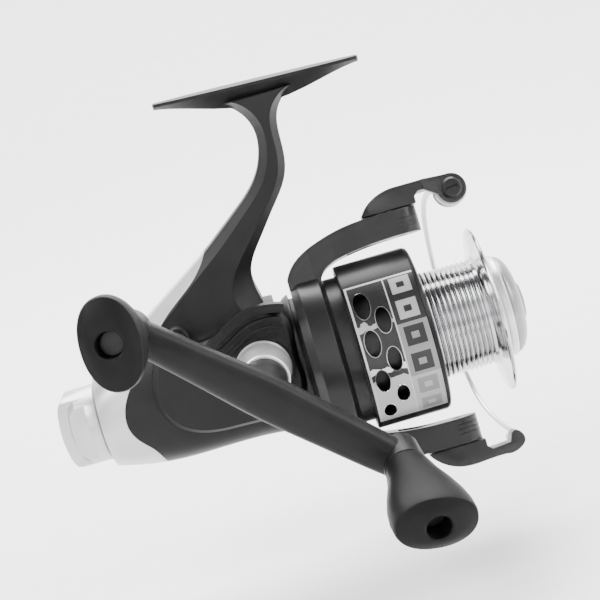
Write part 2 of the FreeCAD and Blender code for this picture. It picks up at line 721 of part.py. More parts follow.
# ---- pinion and rotor -----------------------------------------------------------------------
def pinion():
    outline = spur_outline(
        PINION_TEETH, PINION_ROOT_R, PINION_PITCH_R, PINION_TIP_R, PINION_TOOTH, math.pi)
    points = [vec(9.6, y, z) for y, z in outline]
    teeth = Part.Face(Part.makePolygon(points + points[:1])).extrude(vec(4.8, 0, 0))
    body = teeth.fuse(rod_x(5.7, 9.6, 2.6)).fuse(rod_x(14.4, 31.4, 3.5))
    return body.cut(rod_x(0, 40, SHAFT_R + RUN))


def pinion_bush():
    return tube_x(5.9, 7.6, BUSH_R, 2.6 + RUN)


def clutch_race():
    return tube_x(20.4, 24.1, 9.0, 7.4)


def clutch_sleeve():
    """Inner sleeve of the one-way clutch, keyed to the pinion."""
    return tube_x(20.4, 24.4, 5.0, 3.5)


def clutch_rollers():
    rollers = []
    for k in range(6):
        a = 2 * math.pi * k / 6
        rollers.append(rod_x(20.6, 23.9, 1.1, 6.2 * math.cos(a), 6.2 * math.sin(a)))
    return Part.makeCompound(rollers)


ARM_PROFILE = [
    [(13.9, 20.5), (13.9, 25.4)],
    [(13.9, 25.4), (17.2, 29.9), (25.3, 34.2), (33.2, 36.4), (42.7, 37.4), (50.0, ARM_OUT)],
    [(50.0, ARM_OUT), (59.0, ARM_OUT)], [(59.0, ARM_OUT), (59.0, ARM_IN)], [(59.0, ARM_IN), (50.0, ARM_IN)],
    [(50.0, ARM_IN), (42.0, 29.3), (34.3, 28.4), (28.6, 27.1), (25.2, 24.9), (24.0, 22.0)],
    [(24.0, 22.0), (24.0, 20.5)], [(24.0, 20.5), (13.9, 20.5)],
]


def rotor_arm():
    arm = plate_of_runs(ARM_PROFILE, -12.0, 12.0)
    plan = [
        (13.0, -9.6), (22.5, -9.6), (30.0, -7.4), (40.0, -6.3), (BAIL_X, -BAIL_BOSS_R),
        (BAIL_X, BAIL_BOSS_R), (40.0, 6.3), (30.0, 7.4), (22.5, 9.6), (13.0, 9.6),
    ]
    shape = plate_xy(plan, 10.0, 50.0).fuse(rod_z(10.0, 50.0, BAIL_BOSS_R, BAIL_X))
    return arm.common(shape)


def rotor():
    cup = turned_x([
        (13.9, 21.1), (13.9, 24.0), (16.4, 25.4), (22.9, 25.4), (24.4, ROTOR_CUP_R),
        (44.0, ROTOR_CUP_R), (44.0, 21.4), (27.5, 21.4), (27.5, 7.5), (28.6, 7.5),
        (28.6, 3.5), (24.6, 3.5), (24.6, 11.0), (22.0, 21.1),
    ])
    top = rotor_arm()
    bottom = top.mirror(ORIGIN, Z_AXIS)
    body = cup.fuse(top).fuse(bottom)
    body = body.cut(rod_x(13.0, 22.0, 21.1)).cut(rod_x(27.5, 60.0, 21.4))
    for sign in (1, -1):
        low = min(sign * ARM_IN - sign * 2.0, sign * ARM_OUT + sign)
        body = body.cut(rod_z(low, low + ARM_OUT - ARM_IN + 3.0, 1.5 + RUN, BAIL_X))
        pocket = plate_xy([(34.0, -4.0), (49.0, -4.0), (49.0, 4.0), (34.0, 4.0)], 26.0, POCKET_TOP)
        if sign < 0:
            pocket = pocket.mirror(ORIGIN, Z_AXIS)
        body = body.cut(pocket)
    return body.removeSplitter()


def rotor_nut():
    flats = []
    for k in range(6):
        a = 2 * math.pi * k / 6
        flats.append(vec(28.7, 5.8 * math.cos(a), 5.8 * math.sin(a)))
    nut = Part.Face(Part.makePolygon(flats + flats[:1])).extrude(vec(2.4, 0, 0))
    return nut.cut(rod_x(27, 33, 3.5))


def arm_covers():
    """Plates that close the spring pockets in the arms, on the spool side."""
    plate = block(34.0, 49.0, -4.0, 4.0, ARM_IN, ARM_IN + 0.9)
    return Part.makeCompound([plate, plate.mirror(ORIGIN, Z_AXIS)])


def bail_spring():
    """Torsion spring of the bail, as a closed coil envelope round its own pin."""
    return Part.makeTorus(2.2, 0.5, vec(42.0, 0, POCKET_TOP - 1.0), Z_AXIS)


# ---- bail -----------------------------------------------------------------------------------
UPPER_LEVER = [
    [(42.0, LEVER_IN), (41.4, 38.3)],
    [(41.4, 38.3), (44.2, 41.4), (48.6, 43.6), (54.0, LEVER_OUT)],
    [(54.0, LEVER_OUT), (62.0, LEVER_OUT)], [(62.0, LEVER_OUT), (66.0, 43.6)], [(66.0, 43.6), (66.0, 41.2)],
    [(66.0, 41.2), (60.4, 41.2)], [(60.4, 41.2), (58.9, 39.8)], [(58.9, 39.8), (58.9, LEVER_IN)],
    [(58.9, LEVER_IN), (42.0, LEVER_IN)],
]
LOWER_LEVER = [
    [(42.0, -LEVER_IN), (41.2, -38.4)],
    [(41.2, -38.4), (44.2, -41.6), (49.0, -43.9), (56.0, -LEVER_OUT), (64.5, -44.2)],
    [(64.5, -44.2), (69.2, -43.4), (70.9, -41.6), (70.4, -39.2), (68.9, -38.0), (67.3, -38.5)],
    [(67.3, -38.5), (66.2, -41.0)], [(66.2, -41.0), (60.4, -41.4)], [(60.4, -41.4), (58.9, -40.2)],
    [(58.9, -40.2), (58.9, -LEVER_IN)], [(58.9, -LEVER_IN), (42.0, -LEVER_IN)],
]


def lever_plan(tip_x, tip_half):
    plan = [
        (40.0, -2.4), (44.0, -5.0), (BAIL_X, -BAIL_BOSS_R), (60.0, -5.6), (tip_x, -tip_half),
        (tip_x, tip_half), (60.0, 5.6), (BAIL_X, BAIL_BOSS_R), (44.0, 5.0), (40.0, 2.4),
    ]
    return plate_xy(plan, 30.0, 50.0)


def upper_lever():
    """Lever over the upper arm; its nose carries the line roller between two cheeks."""
    body = plate_of_runs(UPPER_LEVER, -8.0, 8.0).common(lever_plan(66.0, 5.2))
    cheek = rod_y(-6.4, -3.4, 4.6, ROLLER_X, ROLLER_Z)
    neck = plate_xz([(62.0, 41.2), (62.0, LEVER_OUT), (71.0, 43.6), (72.0, 38.0), (66.6, 38.0)], -6.4, -3.4)
    body = body.cut(rod_y(-3.4, 9.0, 5.7, ROLLER_X, ROLLER_Z)).fuse(cheek).fuse(neck)
    body = body.cut(rod_y(-8, 8, 1.5, ROLLER_X, ROLLER_Z))
    return body.cut(rod_z(30, 50, 1.5, BAIL_X)).cut(rod_z(42.7, 50, 3.3, BAIL_X))


def lower_lever():
    """Lever under the lower arm, with an upturned lug that holds the wire."""
    plan = lever_plan(71.5, 3.0).mirror(ORIGIN, Z_AXIS)
    body = plate_of_runs(LOWER_LEVER, -8.0, 8.0).common(plan)
    body = body.cut(rod_z(-50, -30, 1.5, BAIL_X)).cut(rod_z(-50, -42.7, 3.3, BAIL_X))
    return body.cut(bail_wire())


WIRE_POINTS = [
    vec(ROLLER_X, 8.6, ROLLER_Z), vec(66.4, 17.0, 39.2), vec(63.4, 33.0, 32.8),
    vec(63.2, 48.6, 13.0), vec(63.2, 48.6, -13.0), vec(63.5, 33.0, -33.2),
    vec(66.0, 16.0, -40.2), vec(69.0, 0.8, -40.5),
]


def bail_wire():
    return tube_along(WIRE_POINTS, WIRE_R)


def wire_ferrule():
    """Small sleeve where the wire meets the lower lever."""
    way = WIRE_POINTS[-1] - WIRE_POINTS[-2]
    way.normalize()
    start = WIRE_POINTS[-1] - way * 6.2
    sleeve = Part.makeCylinder(1.6, 2.4, start, way)
    return sleeve.cut(Part.makeCylinder(WIRE_R, 6.0, start - way, way))


def roller_cone():
    """Cone on the far side of the line roller that takes the upper end of the wire."""
    cone = turned_y([(3.6, 0.0), (3.6, 4.8), (4.6, 5.0), (9.4, 1.9), (9.8, 0.0)], ROLLER_X, ROLLER_Z)
    return cone.cut(bail_wire()).cut(rod_y(3.0, 6.0, 1.5, ROLLER_X, ROLLER_Z))


def line_roller():
    return turned_y([
        (-3.0, 2.6), (-3.0, 5.0), (-2.4, ROLLER_R), (-0.8, 3.9), (0.8, 3.9), (2.4, ROLLER_R),
        (3.2, 5.0), (3.2, 2.6),
    ], ROLLER_X, ROLLER_Z)


def roller_bush():
    return tube_y(-3.3, 3.5, 2.6 - RUN, 1.5, ROLLER_X, ROLLER_Z)


def roller_screw():
    screw = rod_y(-6.4, 6.0, 1.5, ROLLER_X, ROLLER_Z)
    head = turned_y([(-7.9, 0.0), (-7.9, 2.6), (-7.2, 3.3), (-6.4, 3.3), (-6.4, 0.0)], ROLLER_X, ROLLER_Z)
    slot = block(ROLLER_X - 2.0, ROLLER_X + 2.0, -9, -7.2, ROLLER_Z - 0.4, ROLLER_Z + 0.4)
    return screw.fuse(head).cut(slot)


def pivot_screws():
    shank = rod_z(31.0, 42.7, 1.5, BAIL_X)
    head = rod_z(42.7, 44.0, 3.2, BAIL_X)
    slot = block(BAIL_X - 2.2, BAIL_X + 2.2, -0.4, 0.4, 43.4, 45.0)
    screw = shank.fuse(head).cut(slot)
    return Part.makeCompound([screw, screw.mirror(ORIGIN, Z_AXIS)])


# ---- main shaft and spool -------------------------------------------------------------------
SHAFT_REAR = -56.0
HOLE_ANGLES = [40.0 - 13.15 * k for k in range(7)]
HOLE_SIZES = [(4.6, 2.5), (4.2, 2.3), (4.2, 2.4), (3.8, 2.2), (3.8, 2.2), (3.3, 2.0), (3.3, 2.0)]


def main_shaft():
    shaft = rod_x(SHAFT_REAR, 76.6, SHAFT_R)
    flat = block(SHAFT_REAR - 1, -40.0, -3, 3, 1.3, 3)
    return shaft.cut(flat)


def shaft_clips():
    clips = []
    for x in (SLIDER_X - 1.9, SLIDER_X + 1.1):
        clips.append(tube_x(x, x + 0.8, 2.3, SHAFT_R))
    return Part.makeCompound(clips)


def skirt_holes(radius_in, radius_out):
    """Two fans of seven oval holes in two staggered rows, one on each flank."""
    cutters = []
    for flank in (0.0, 180.0):
        for k, angle in enumerate(HOLE_ANGLES):
            x = 33.0 if k % 2 == 0 else 38.0
            half_round, half_axial = HOLE_SIZES[k]
            ring = ellipse_loop(vec(x, -radius_in, 0), half_round, half_axial, Z_AXIS, X_AXIS, 2.0, 12)
            cutter = Part.Face(ring).extrude(vec(0, radius_in - radius_out, 0))
            cutter.rotate(ORIGIN, X_AXIS, flank - angle)
            cutters.append(cutter)
    return cutters


def spool_skirt():
    skirt = turned_x([
        (SKIRT_X0, 24.4), (SKIRT_X0, 25.7), (SKIRT_X0 + 0.4, SPOOL_R), (SKIRT_X1 - 1.4, SPOOL_R),
        (SKIRT_X1 - 0.4, 25.5), (SKIRT_X1, 24.6), (SKIRT_X1, BARREL_R), (50.4, BARREL_R),
        (50.4, 24.0), (50.0, 24.4),
    ])
    return skirt.cut(Part.makeCompound(skirt_holes(22.0, 28.0)))


def spool_label():
    """Printed foil on each flank of the skirt, with the holes punched through."""
    foils = []
    outer = SPOOL_R + 0.12
    corners = [vec(29.3, 0, SPOOL_R), vec(50.4, 0, SPOOL_R), vec(50.4, 0, outer), vec(29.3, 0, outer)]
    face = Part.Face(Part.makePolygon(corners + corners[:1]))
    for flank in (0.0, 180.0):
        start = face.copy()
        start.rotate(ORIGIN, X_AXIS, flank + 33.0)
        foils.append(start.revolve(ORIGIN, X_AXIS, 108.0))
    return Part.makeCompound(foils).cut(Part.makeCompound(skirt_holes(22.0, 28.0)))


def spool():
    """Bright metal spool: ribbed barrel, front flange, web and hub."""
    ribs = 11
    pitch = 1.5
    outer = [(50.4, 5.0), (50.4, BARREL_R), (SKIRT_X1 + 0.3, BARREL_R)]
    for k in range(ribs):
        x = SKIRT_X1 + 0.4 + k * pitch
        outer.append((x + 0.25, BARREL_R - 0.55))
        outer.append((x + 0.75, BARREL_R - 0.6))
        outer.append((x + 1.0, BARREL_R - 0.05 * k))
        outer.append((x + 1.4, BARREL_R - 0.05 * k))
    front = [
        (69.8, 16.7), (70.6, 17.8), (71.0, 20.0), (71.1, 25.2), (71.4, 25.8), (FLANGE_X, SPOOL_R),
        (72.3, 25.8), (72.6, 25.2), (72.6, 14.6), (54.2, 14.6), (54.2, 5.0), (70.0, 5.0),
        (70.0, SHAFT_R), (50.0, SHAFT_R), (50.0, 5.0),
    ]
    return turned_x(outer + front)


def spool_ring():
    return turned_x([
        (72.6, 13.0), (72.6, 16.0), (76.2, 16.0), (76.6, 15.6), (76.6, 13.0),
    ])


def spool_cap():
    """Satin dome in front of the spool, with a bore for the release button."""
    dome = [(76.6, 6.3), (76.6, 15.4)]
    for k in range(1, 7):
        a = math.radians(15.0 * k)
        dome.append((76.6 + 4.6 * math.sin(a), 6.3 + 9.1 * math.cos(a)))
    wall = [(78.6, 6.3)]
    cap = turned_x(dome[:-1] + [(81.2, 6.3)] + wall)
    return cap.cut(rod_x(70, 77.6, 12.0))


def spool_button():
    return turned_x([(78.4, 0.0), (78.4, 6.22), (81.4, 6.22), (82.2, 5.4), (82.6, 3.0), (82.7, 0.0)])


def button_spring():
    return tube_x(70.2, 78.3, 3.6, 2.4)


def click_gear():
    outline = spur_outline(24, 7.0, 7.5, 8.0, 0.9, 0.0)
    points = [vec(48.4, y, z) for y, z in outline]
    wheel = Part.Face(Part.makePolygon(points + points[:1])).extrude(vec(1.4, 0, 0))
    return wheel.cut(rod_x(47, 51, SHAFT_R))


# ---- rear drag ------------------------------------------------------------------------------
def drag_cup():
    cup = tube_x(-50.2, DIVIDER_X - 0.2, DRAG_BORE_R - 0.1, 9.6)
    for angle in (0, 180):
        groove = block(-50.4, -43.0, 9.0, 10.8, -1.3, 1.3)
        groove.rotate(ORIGIN, X_AXIS, angle)
        cup = cup.cut(groove)
    return cup


def drag_sleeve():
    return tube_x(-40.9, -31.4, 4.4, SHAFT_R + RUN)


def drag_discs_keyed():
    return Part.makeCompound([tube_x(x, x + 1.0, 9.0, 4.4) for x in (-34.3, -36.7, -39.1)])


def drag_discs_fixed():
    return Part.makeCompound([tube_x(x, x + 1.0, 9.6, 4.7) for x in (-33.1, -35.5, -37.9, -40.3)])


def pressure_plate():
    return tube_x(-41.5, -40.4, 9.4, 4.9).fuse(tube_x(-41.5, -41.0, 5.2, 2.2))


def drag_spring():
    return tube_x(-46.4, -41.6, 7.4, 5.6)


def drag_nut():
    nut = tube_x(-48.9, -46.5, 9.3, 3.0 + RUN)
    for y in (-10.5, 9.0):
        nut = nut.fuse(block(-48.9, -46.5, y, y + 1.5, -1.1, 1.1))
    return nut


def drag_knob():
    """Domed dial with a raised grip bar between two flat cheeks, and a threaded stub."""
    body = turned_x([
        (DRAG_KNOB_X0 + 1.6, 0.0), (DRAG_KNOB_X0 + 1.6, 6.0), (DRAG_KNOB_X0 + 3.0, 10.4),
        (DRAG_KNOB_X0 + 5.2, DRAG_KNOB_R), (DRAG_KNOB_X1 - 0.6, DRAG_KNOB_R + 0.2),
        (DRAG_KNOB_X1, DRAG_KNOB_R - 0.4), (DRAG_KNOB_X1, 0.0),
    ])
    nose = [(2.6, 11.6), (0.4, 9.8), (-0.9, 5.4), (-1.4, 0.0), (-1.0, -5.4), (0.3, -9.8), (2.6, -11.6)]
    nose = [(DRAG_KNOB_X0 + x, z) for x, z in nose]
    low = nose[-1][1]
    high = nose[0][1]
    sides = [[nose[-1], (-54.6, low)], [(-54.6, low), (-54.6, high)], [(-54.6, high), nose[0]]]
    bar = plate_of_runs([nose] + sides, -6.2, 6.2).common(rod_x(-70, -52, DRAG_KNOB_R + 0.1))
    knob_shape = body.cut(block(-70, -56.2, -20, -8.6, -20, 20)).cut(block(-70, -56.2, 8.6, 20, -20, 20))
    knob_shape = knob_shape.fuse(bar).fuse(rod_x(-53.0, -44.4, 3.0))
    return knob_shape.cut(rod_x(-57.6, -40, 2.1)).removeSplitter()


# ---- anti-reverse switch --------------------------------------------------------------------
def switch_lever():
    """Small lever under the far side of the collar that frees the one-way clutch."""
    hub = rod_y(17.2, 19.8, 3.2, SWITCH_X, SWITCH_Z)
    outline = [(0.0, -3.2), (-11.0, -2.6), (-12.4, -0.8), (-11.4, 1.2), (0.0, 3.2)]
    tail = plate_xz([(SWITCH_X + x, SWITCH_Z + z) for x, z in outline], 17.2, 19.2)
    ridge = block(SWITCH_X - 12.0, SWITCH_X - 9.4, 17.2, 21.4, SWITCH_Z - 2.4, SWITCH_Z + 1.0)
    pin = rod_y(13.0, 17.3, 1.5, SWITCH_X, SWITCH_Z)
    return hub.fuse(tail).fuse(ridge).fuse(pin)


def build():
    outside = casing_outside()
    region = rear_region()
    save("body_housing", body_housing(outside, region))
    save("rear_cover", rear_cover(outside, region))
    save("side_cover", side_cover())
    save("side_cover_screws", side_cover_screws())
    save("rear_cover_screws", rear_cover_screws())
    save("guide_rods", guide_rods())
    save("osc_axle", osc_axle())
    save("osc_gear", osc_gear())
    save("osc_pinion", osc_pinion())
    save("slider", slider())
    save("drive_shaft", drive_shaft())
    save("drive_gear", drive_gear())
    save("crank_bearing_near", bearing_y(-16.4))
    save("crank_bearing_far", bearing_y(10.9))
    save("crank_collar", crank_collar())
    save("far_cap", far_cap())
    save("handle_arm", handle_arm())
    for side, name in ((-1, "rear"), (1, "front")):
        save("knob_" + name, knob(side))
        save("knob_spindle_" + name, knob_spindle(side))
    save("pinion", pinion())
    save("pinion_bush", pinion_bush())
    save("pinion_bearing", bearing_x(16.5))
    save("clutch_race", clutch_race())
    save("clutch_rollers", clutch_rollers())
    save("clutch_sleeve", clutch_sleeve())
    save("rotor", turned_to_rest(rotor()))
    save("rotor_nut", turned_to_rest(rotor_nut()))
    save("arm_covers", turned_to_rest(arm_covers()))
    save("bail_spring", turned_to_rest(bail_spring()))
    save("bail_lever_upper", turned_to_rest(upper_lever()))
    save("bail_lever_lower", turned_to_rest(lower_lever()))
    save("bail_wire", turned_to_rest(bail_wire()))
    save("wire_ferrule", turned_to_rest(wire_ferrule()))
    save("roller_cone", turned_to_rest(roller_cone()))
    save("line_roller", turned_to_rest(line_roller()))
    save("roller_bush", turned_to_rest(roller_bush()))
    save("roller_screw", turned_to_rest(roller_screw()))
    save("pivot_screws", turned_to_rest(pivot_screws()))
    save("main_shaft", main_shaft())
    save("shaft_clips", shaft_clips())
    save("spool", spool())
    save("spool_skirt", spool_skirt())
    save("spool_label", spool_label())
    save("spool_ring", spool_ring())
    save("spool_cap", spool_cap())
    save("spool_button", spool_button())
    save("button_spring", button_spring())
    save("click_gear", click_gear())
    save("drag_cup", drag_cup())
    save("drag_sleeve", drag_sleeve())
    save("drag_discs_keyed", drag_discs_keyed())
    save("drag_discs_fixed", drag_discs_fixed())
    save("pressure_plate", pressure_plate())
    save("drag_spring", drag_spring())
    save("drag_nut", drag_nut())
    save("drag_knob", drag_knob())
    save("switch_lever", switch_lever())


build()
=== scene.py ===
# %% [markdown]
# # A spinning reel
# This lesson dresses a spinning reel: a black moulded body on a long stem, a silver rear cover with
# the drag dial, a double crank, and a bright spool in a pierced black skirt.  The hard parts come
# from the part's own solid model, so the first step loads them as a fixed frame.  We work in
# metres: +X runs forward out of the spool, +Z up to the rod, and the crank is on the -Y side.  The
# origin is the middle of the foot's flat top.

import json
import math

import bmesh
import bpy
from mathutils import Matrix, Vector


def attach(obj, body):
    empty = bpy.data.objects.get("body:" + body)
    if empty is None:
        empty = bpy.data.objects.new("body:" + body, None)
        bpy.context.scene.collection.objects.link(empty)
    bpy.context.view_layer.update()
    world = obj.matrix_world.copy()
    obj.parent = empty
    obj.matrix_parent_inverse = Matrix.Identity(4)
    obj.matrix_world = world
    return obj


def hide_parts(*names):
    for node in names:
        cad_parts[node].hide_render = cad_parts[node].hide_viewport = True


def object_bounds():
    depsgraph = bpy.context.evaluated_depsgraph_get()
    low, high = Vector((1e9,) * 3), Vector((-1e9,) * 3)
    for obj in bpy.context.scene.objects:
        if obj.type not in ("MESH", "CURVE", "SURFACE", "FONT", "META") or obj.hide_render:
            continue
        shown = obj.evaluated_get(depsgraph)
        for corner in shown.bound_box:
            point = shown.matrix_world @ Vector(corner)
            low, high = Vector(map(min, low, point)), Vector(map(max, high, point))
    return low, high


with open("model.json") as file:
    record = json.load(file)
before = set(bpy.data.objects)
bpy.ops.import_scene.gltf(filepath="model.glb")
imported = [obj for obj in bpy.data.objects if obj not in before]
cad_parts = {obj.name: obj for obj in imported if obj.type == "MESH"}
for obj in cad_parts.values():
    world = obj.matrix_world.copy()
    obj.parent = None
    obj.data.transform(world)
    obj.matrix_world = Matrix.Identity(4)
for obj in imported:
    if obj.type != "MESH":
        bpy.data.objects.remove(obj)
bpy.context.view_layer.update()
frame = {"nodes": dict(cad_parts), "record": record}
nodes = frame["nodes"]

# %% [markdown]
# ## Finishes
# A reel is mostly satin moulded plastic and bright metal.  Neither is one flat colour: mouldings
# have a very fine spark-eroded grain and slightly uneven gloss, and turned metal has rings.  One
# helper builds every finish from the same recipe: a broad noise varies the colour and the gloss,
# and a fine noise lifts the surface.  Numbers that are the same everywhere go straight on the
# shader, so that they survive export.

# %% A recipe for finishes
def link(tree, source, target):
    tree.links.new(source, target)


def start_finish(name, metallic=0.0, specular=0.5):
    material = bpy.data.materials.new(name)
    material.use_nodes = True
    tree = material.node_tree
    shader = tree.nodes["Principled BSDF"]
    shader.inputs["Metallic"].default_value = metallic
    shader.inputs["Specular IOR Level"].default_value = specular
    place = tree.nodes.new("ShaderNodeTexCoord")
    return material, tree, shader, place


def noise(tree, place, scale, detail=3.0, stretch=(1, 1, 1)):
    mapping = tree.nodes.new("ShaderNodeMapping")
    mapping.inputs["Scale"].default_value = stretch
    link(tree, place.outputs["Object"], mapping.inputs["Vector"])
    cloud = tree.nodes.new("ShaderNodeTexNoise")
    cloud.inputs["Scale"].default_value = scale
    cloud.inputs["Detail"].default_value = detail
    link(tree, mapping.outputs["Vector"], cloud.inputs["Vector"])
    return cloud.outputs["Fac"]


NOISE_LOW, NOISE_HIGH = 0.3, 0.7               # most of a noise lies between these


def spread(tree, factor, low, high):
    ramp = tree.nodes.new("ShaderNodeMapRange")
    ramp.inputs["From Min"].default_value = NOISE_LOW
    ramp.inputs["From Max"].default_value = NOISE_HIGH
    ramp.inputs["To Min"].default_value = low
    ramp.inputs["To Max"].default_value = high
    link(tree, factor, ramp.inputs["Value"])
    return ramp.outputs["Result"]


def two_tone(tree, factor, dark, light):
    mix = tree.nodes.new("ShaderNodeMix")
    mix.data_type = "RGBA"
    mix.inputs["A"].default_value = (*dark, 1)
    mix.inputs["B"].default_value = (*light, 1)
    link(tree, factor, mix.inputs["Factor"])
    return mix.outputs["Result"]


EDGE_ROUND = 0.0004
MOULD_CLOUD, MOULD_LIFT = 90.0, 0.5
TURN_CLOUD, TURN_LIFT = 120.0, 0.35


def lift(tree, shader, height, depth, strength=1.0, eased_edge=0.0):
    """Raise the surface a little by height; eased_edge also rounds sharp edges in the shading."""
    bump = tree.nodes.new("ShaderNodeBump")
    if eased_edge:
        edge = tree.nodes.new("ShaderNodeBevel")
        edge.samples = 4
        edge.inputs["Radius"].default_value = eased_edge
        link(tree, edge.outputs["Normal"], bump.inputs["Normal"])
    bump.inputs["Distance"].default_value = depth
    bump.inputs["Strength"].default_value = strength
    link(tree, height, bump.inputs["Height"])
    link(tree, bump.outputs["Normal"], shader.inputs["Normal"])


def moulded(name, dark, light, gloss, grain, depth, metallic=0.0, specular=0.5):
    """Moulded or painted surface with fine grain and uneven gloss."""
    material, tree, shader, place = start_finish(name, metallic, specular)
    broad = noise(tree, place, MOULD_CLOUD)
    fine = noise(tree, place, grain, 2.0)
    link(tree, two_tone(tree, spread(tree, broad, 0, 1), dark, light), shader.inputs["Base Color"])
    link(tree, spread(tree, broad, *gloss), shader.inputs["Roughness"])
    lift(tree, shader, fine, depth, MOULD_LIFT, EDGE_ROUND)
    return material


def turned(name, dark, light, gloss, depth, stretch=(1, 0.05, 0.05), grain=2500.0, metallic=1.0):
    """Metal with tool rings: the noise is squeezed so that it changes only along one way."""
    material, tree, shader, place = start_finish(name, metallic)
    rings = noise(tree, place, grain, 2.0, stretch)
    broad = noise(tree, place, TURN_CLOUD)
    link(tree, two_tone(tree, spread(tree, broad, 0, 1), dark, light), shader.inputs["Base Color"])
    link(tree, spread(tree, rings, *gloss), shader.inputs["Roughness"])
    lift(tree, shader, rings, depth, TURN_LIFT)
    return material


# %% [markdown]
# ## The printed foil
# Each flank of the skirt carries a printed foil: a dark field behind the upper holes, a grey panel
# towards the front, a light field below, and a thin light border.  A picture wrapped on the skirt
# would do it, but a print of straight-edged fields can be drawn by the shader itself, from two
# numbers: how far along the skirt a point lies, and how far round.  The lettering is left out and
# plain blocks stand in its place.

# %% A print drawn from two coordinates
SPOOL_AXIS_X, SPOOL_AXIS_Z = 0.0213, 0.088     # crank axis behind, spool axis below the foot's middle
FOIL_REAR, FOIL_LENGTH = 0.0293, 0.0211        # from the crank axis
FOIL_START, FOIL_SWEEP = math.radians(33.0), math.radians(108.0)
BLOCKS = 6
TOP_FIELD, LOW_FIELD = 1 / 3, 2 / 3
PANEL_START = 0.56                             # where the front panel starts, along the foil
LIGHT_FROM, LIGHT_TONE = 0.64, 0.34            # the light field at the rear, from here down
STREAKS = [(0.28, 0.31, 0.30), (0.56, 0.60, 0.62)]            # start, end, tone
PANELS = [(TOP_FIELD, 0.17), (LOW_FIELD, 0.30)]               # start, tone
BLOCK_TONES = [(0.0, TOP_FIELD, 0.30), (TOP_FIELD, LOW_FIELD, 0.012), (LOW_FIELD, 1.0, 0.18)]
BLOCK_ROUND, BLOCK_ALONG = (0.14, 0.86), (0.64, 0.93)
HOLLOW_ROUND, HOLLOW_ALONG = (0.38, 0.62), (0.73, 0.84)
WAVE_SCALE, WAVE_DEPTH, INK_SCALE = 260.0, 0.10, 700.0
INK_LOW, INK_HIGH = (0.010, 0.010, 0.010), (0.020, 0.020, 0.020)
REAR_EDGE, TOP_EDGE, PANEL_EDGE, EDGE_TONE = 0.03, 0.014, (0.55, 0.57), 0.42
FOIL_METAL, FOIL_GLOSS = 0.35, 0.3


def calc(tree, operation, a, b=0.0):
    node = tree.nodes.new("ShaderNodeMath")
    node.operation = operation
    for socket, value in zip(node.inputs, (a, b)):
        if isinstance(value, (int, float)):
            socket.default_value = value
        else:
            link(tree, value, socket)
    return node.outputs[0]


def both(tree, a, b):
    return calc(tree, "MULTIPLY", a, b)


def between(tree, value, low, high):
    above = calc(tree, "GREATER_THAN", value, low)
    return both(tree, above, calc(tree, "LESS_THAN", value, high))


def paint(tree, under, mask, tone):
    mix = tree.nodes.new("ShaderNodeMix")
    mix.data_type = "RGBA"
    link(tree, mask, mix.inputs["Factor"])
    link(tree, under, mix.inputs["A"])
    mix.inputs["B"].default_value = (tone, tone, tone, 1)
    return mix.outputs["Result"]


def printed_foil():
    """Print on the skirt: along runs 0 to 1 from rear to front, round 0 to 1 from top to bottom."""
    material, tree, shader, place = start_finish("label_foil", FOIL_METAL, 0.5)
    shader.inputs["Roughness"].default_value = FOIL_GLOSS
    split = tree.nodes.new("ShaderNodeSeparateXYZ")
    link(tree, place.outputs["Object"], split.inputs[0])
    x, y, z = split.outputs
    along = calc(tree, "DIVIDE", calc(tree, "ADD", x, SPOOL_AXIS_X - FOIL_REAR), FOIL_LENGTH)
    turn = calc(tree, "ARCTAN2", calc(tree, "ABSOLUTE", y), calc(tree, "ADD", z, SPOOL_AXIS_Z))
    around = calc(tree, "DIVIDE", calc(tree, "SUBTRACT", turn, FOIL_START), FOIL_SWEEP)
    cloud = calc(tree, "SUBTRACT", noise(tree, place, WAVE_SCALE, 2.0), 0.5)
    wavy = calc(tree, "ADD", around, both(tree, cloud, WAVE_DEPTH))
    tone = two_tone(tree, noise(tree, place, INK_SCALE), INK_LOW, INK_HIGH)
    front = calc(tree, "GREATER_THAN", along, PANEL_START)
    rear = calc(tree, "LESS_THAN", along, PANEL_START)
    light = calc(tree, "GREATER_THAN", wavy, LIGHT_FROM)
    tone = paint(tree, tone, both(tree, rear, light), LIGHT_TONE)
    for start, end, shade in STREAKS:
        tone = paint(tree, tone, both(tree, rear, between(tree, wavy, start, end)), shade)
    for start, shade in PANELS:
        below = calc(tree, "GREATER_THAN", around, start)
        tone = paint(tree, tone, both(tree, front, below), shade)
    step = calc(tree, "FRACT", both(tree, around, BLOCKS))
    block = both(tree, between(tree, step, *BLOCK_ROUND), between(tree, along, *BLOCK_ALONG))
    hollow = both(tree, between(tree, step, *HOLLOW_ROUND), between(tree, along, *HOLLOW_ALONG))
    ink = calc(tree, "SUBTRACT", block, hollow)
    for start, end, shade in BLOCK_TONES:
        tone = paint(tree, tone, both(tree, ink, between(tree, around, start, end)), shade)
    edges = (
        calc(tree, "LESS_THAN", along, REAR_EDGE),
        calc(tree, "LESS_THAN", around, TOP_EDGE),
        between(tree, along, *PANEL_EDGE),
    )
    for edge in edges:
        tone = paint(tree, tone, edge, EDGE_TONE)
    link(tree, tone, shader.inputs["Base Color"])
    return material


# %% [markdown]
# ## The set of finishes
# The keys are the finish names the parts already carry.  Blacks differ in gloss: the casing and
# the rotor are satin mouldings, the skirt is glossier, and the crank arm is painted metal.

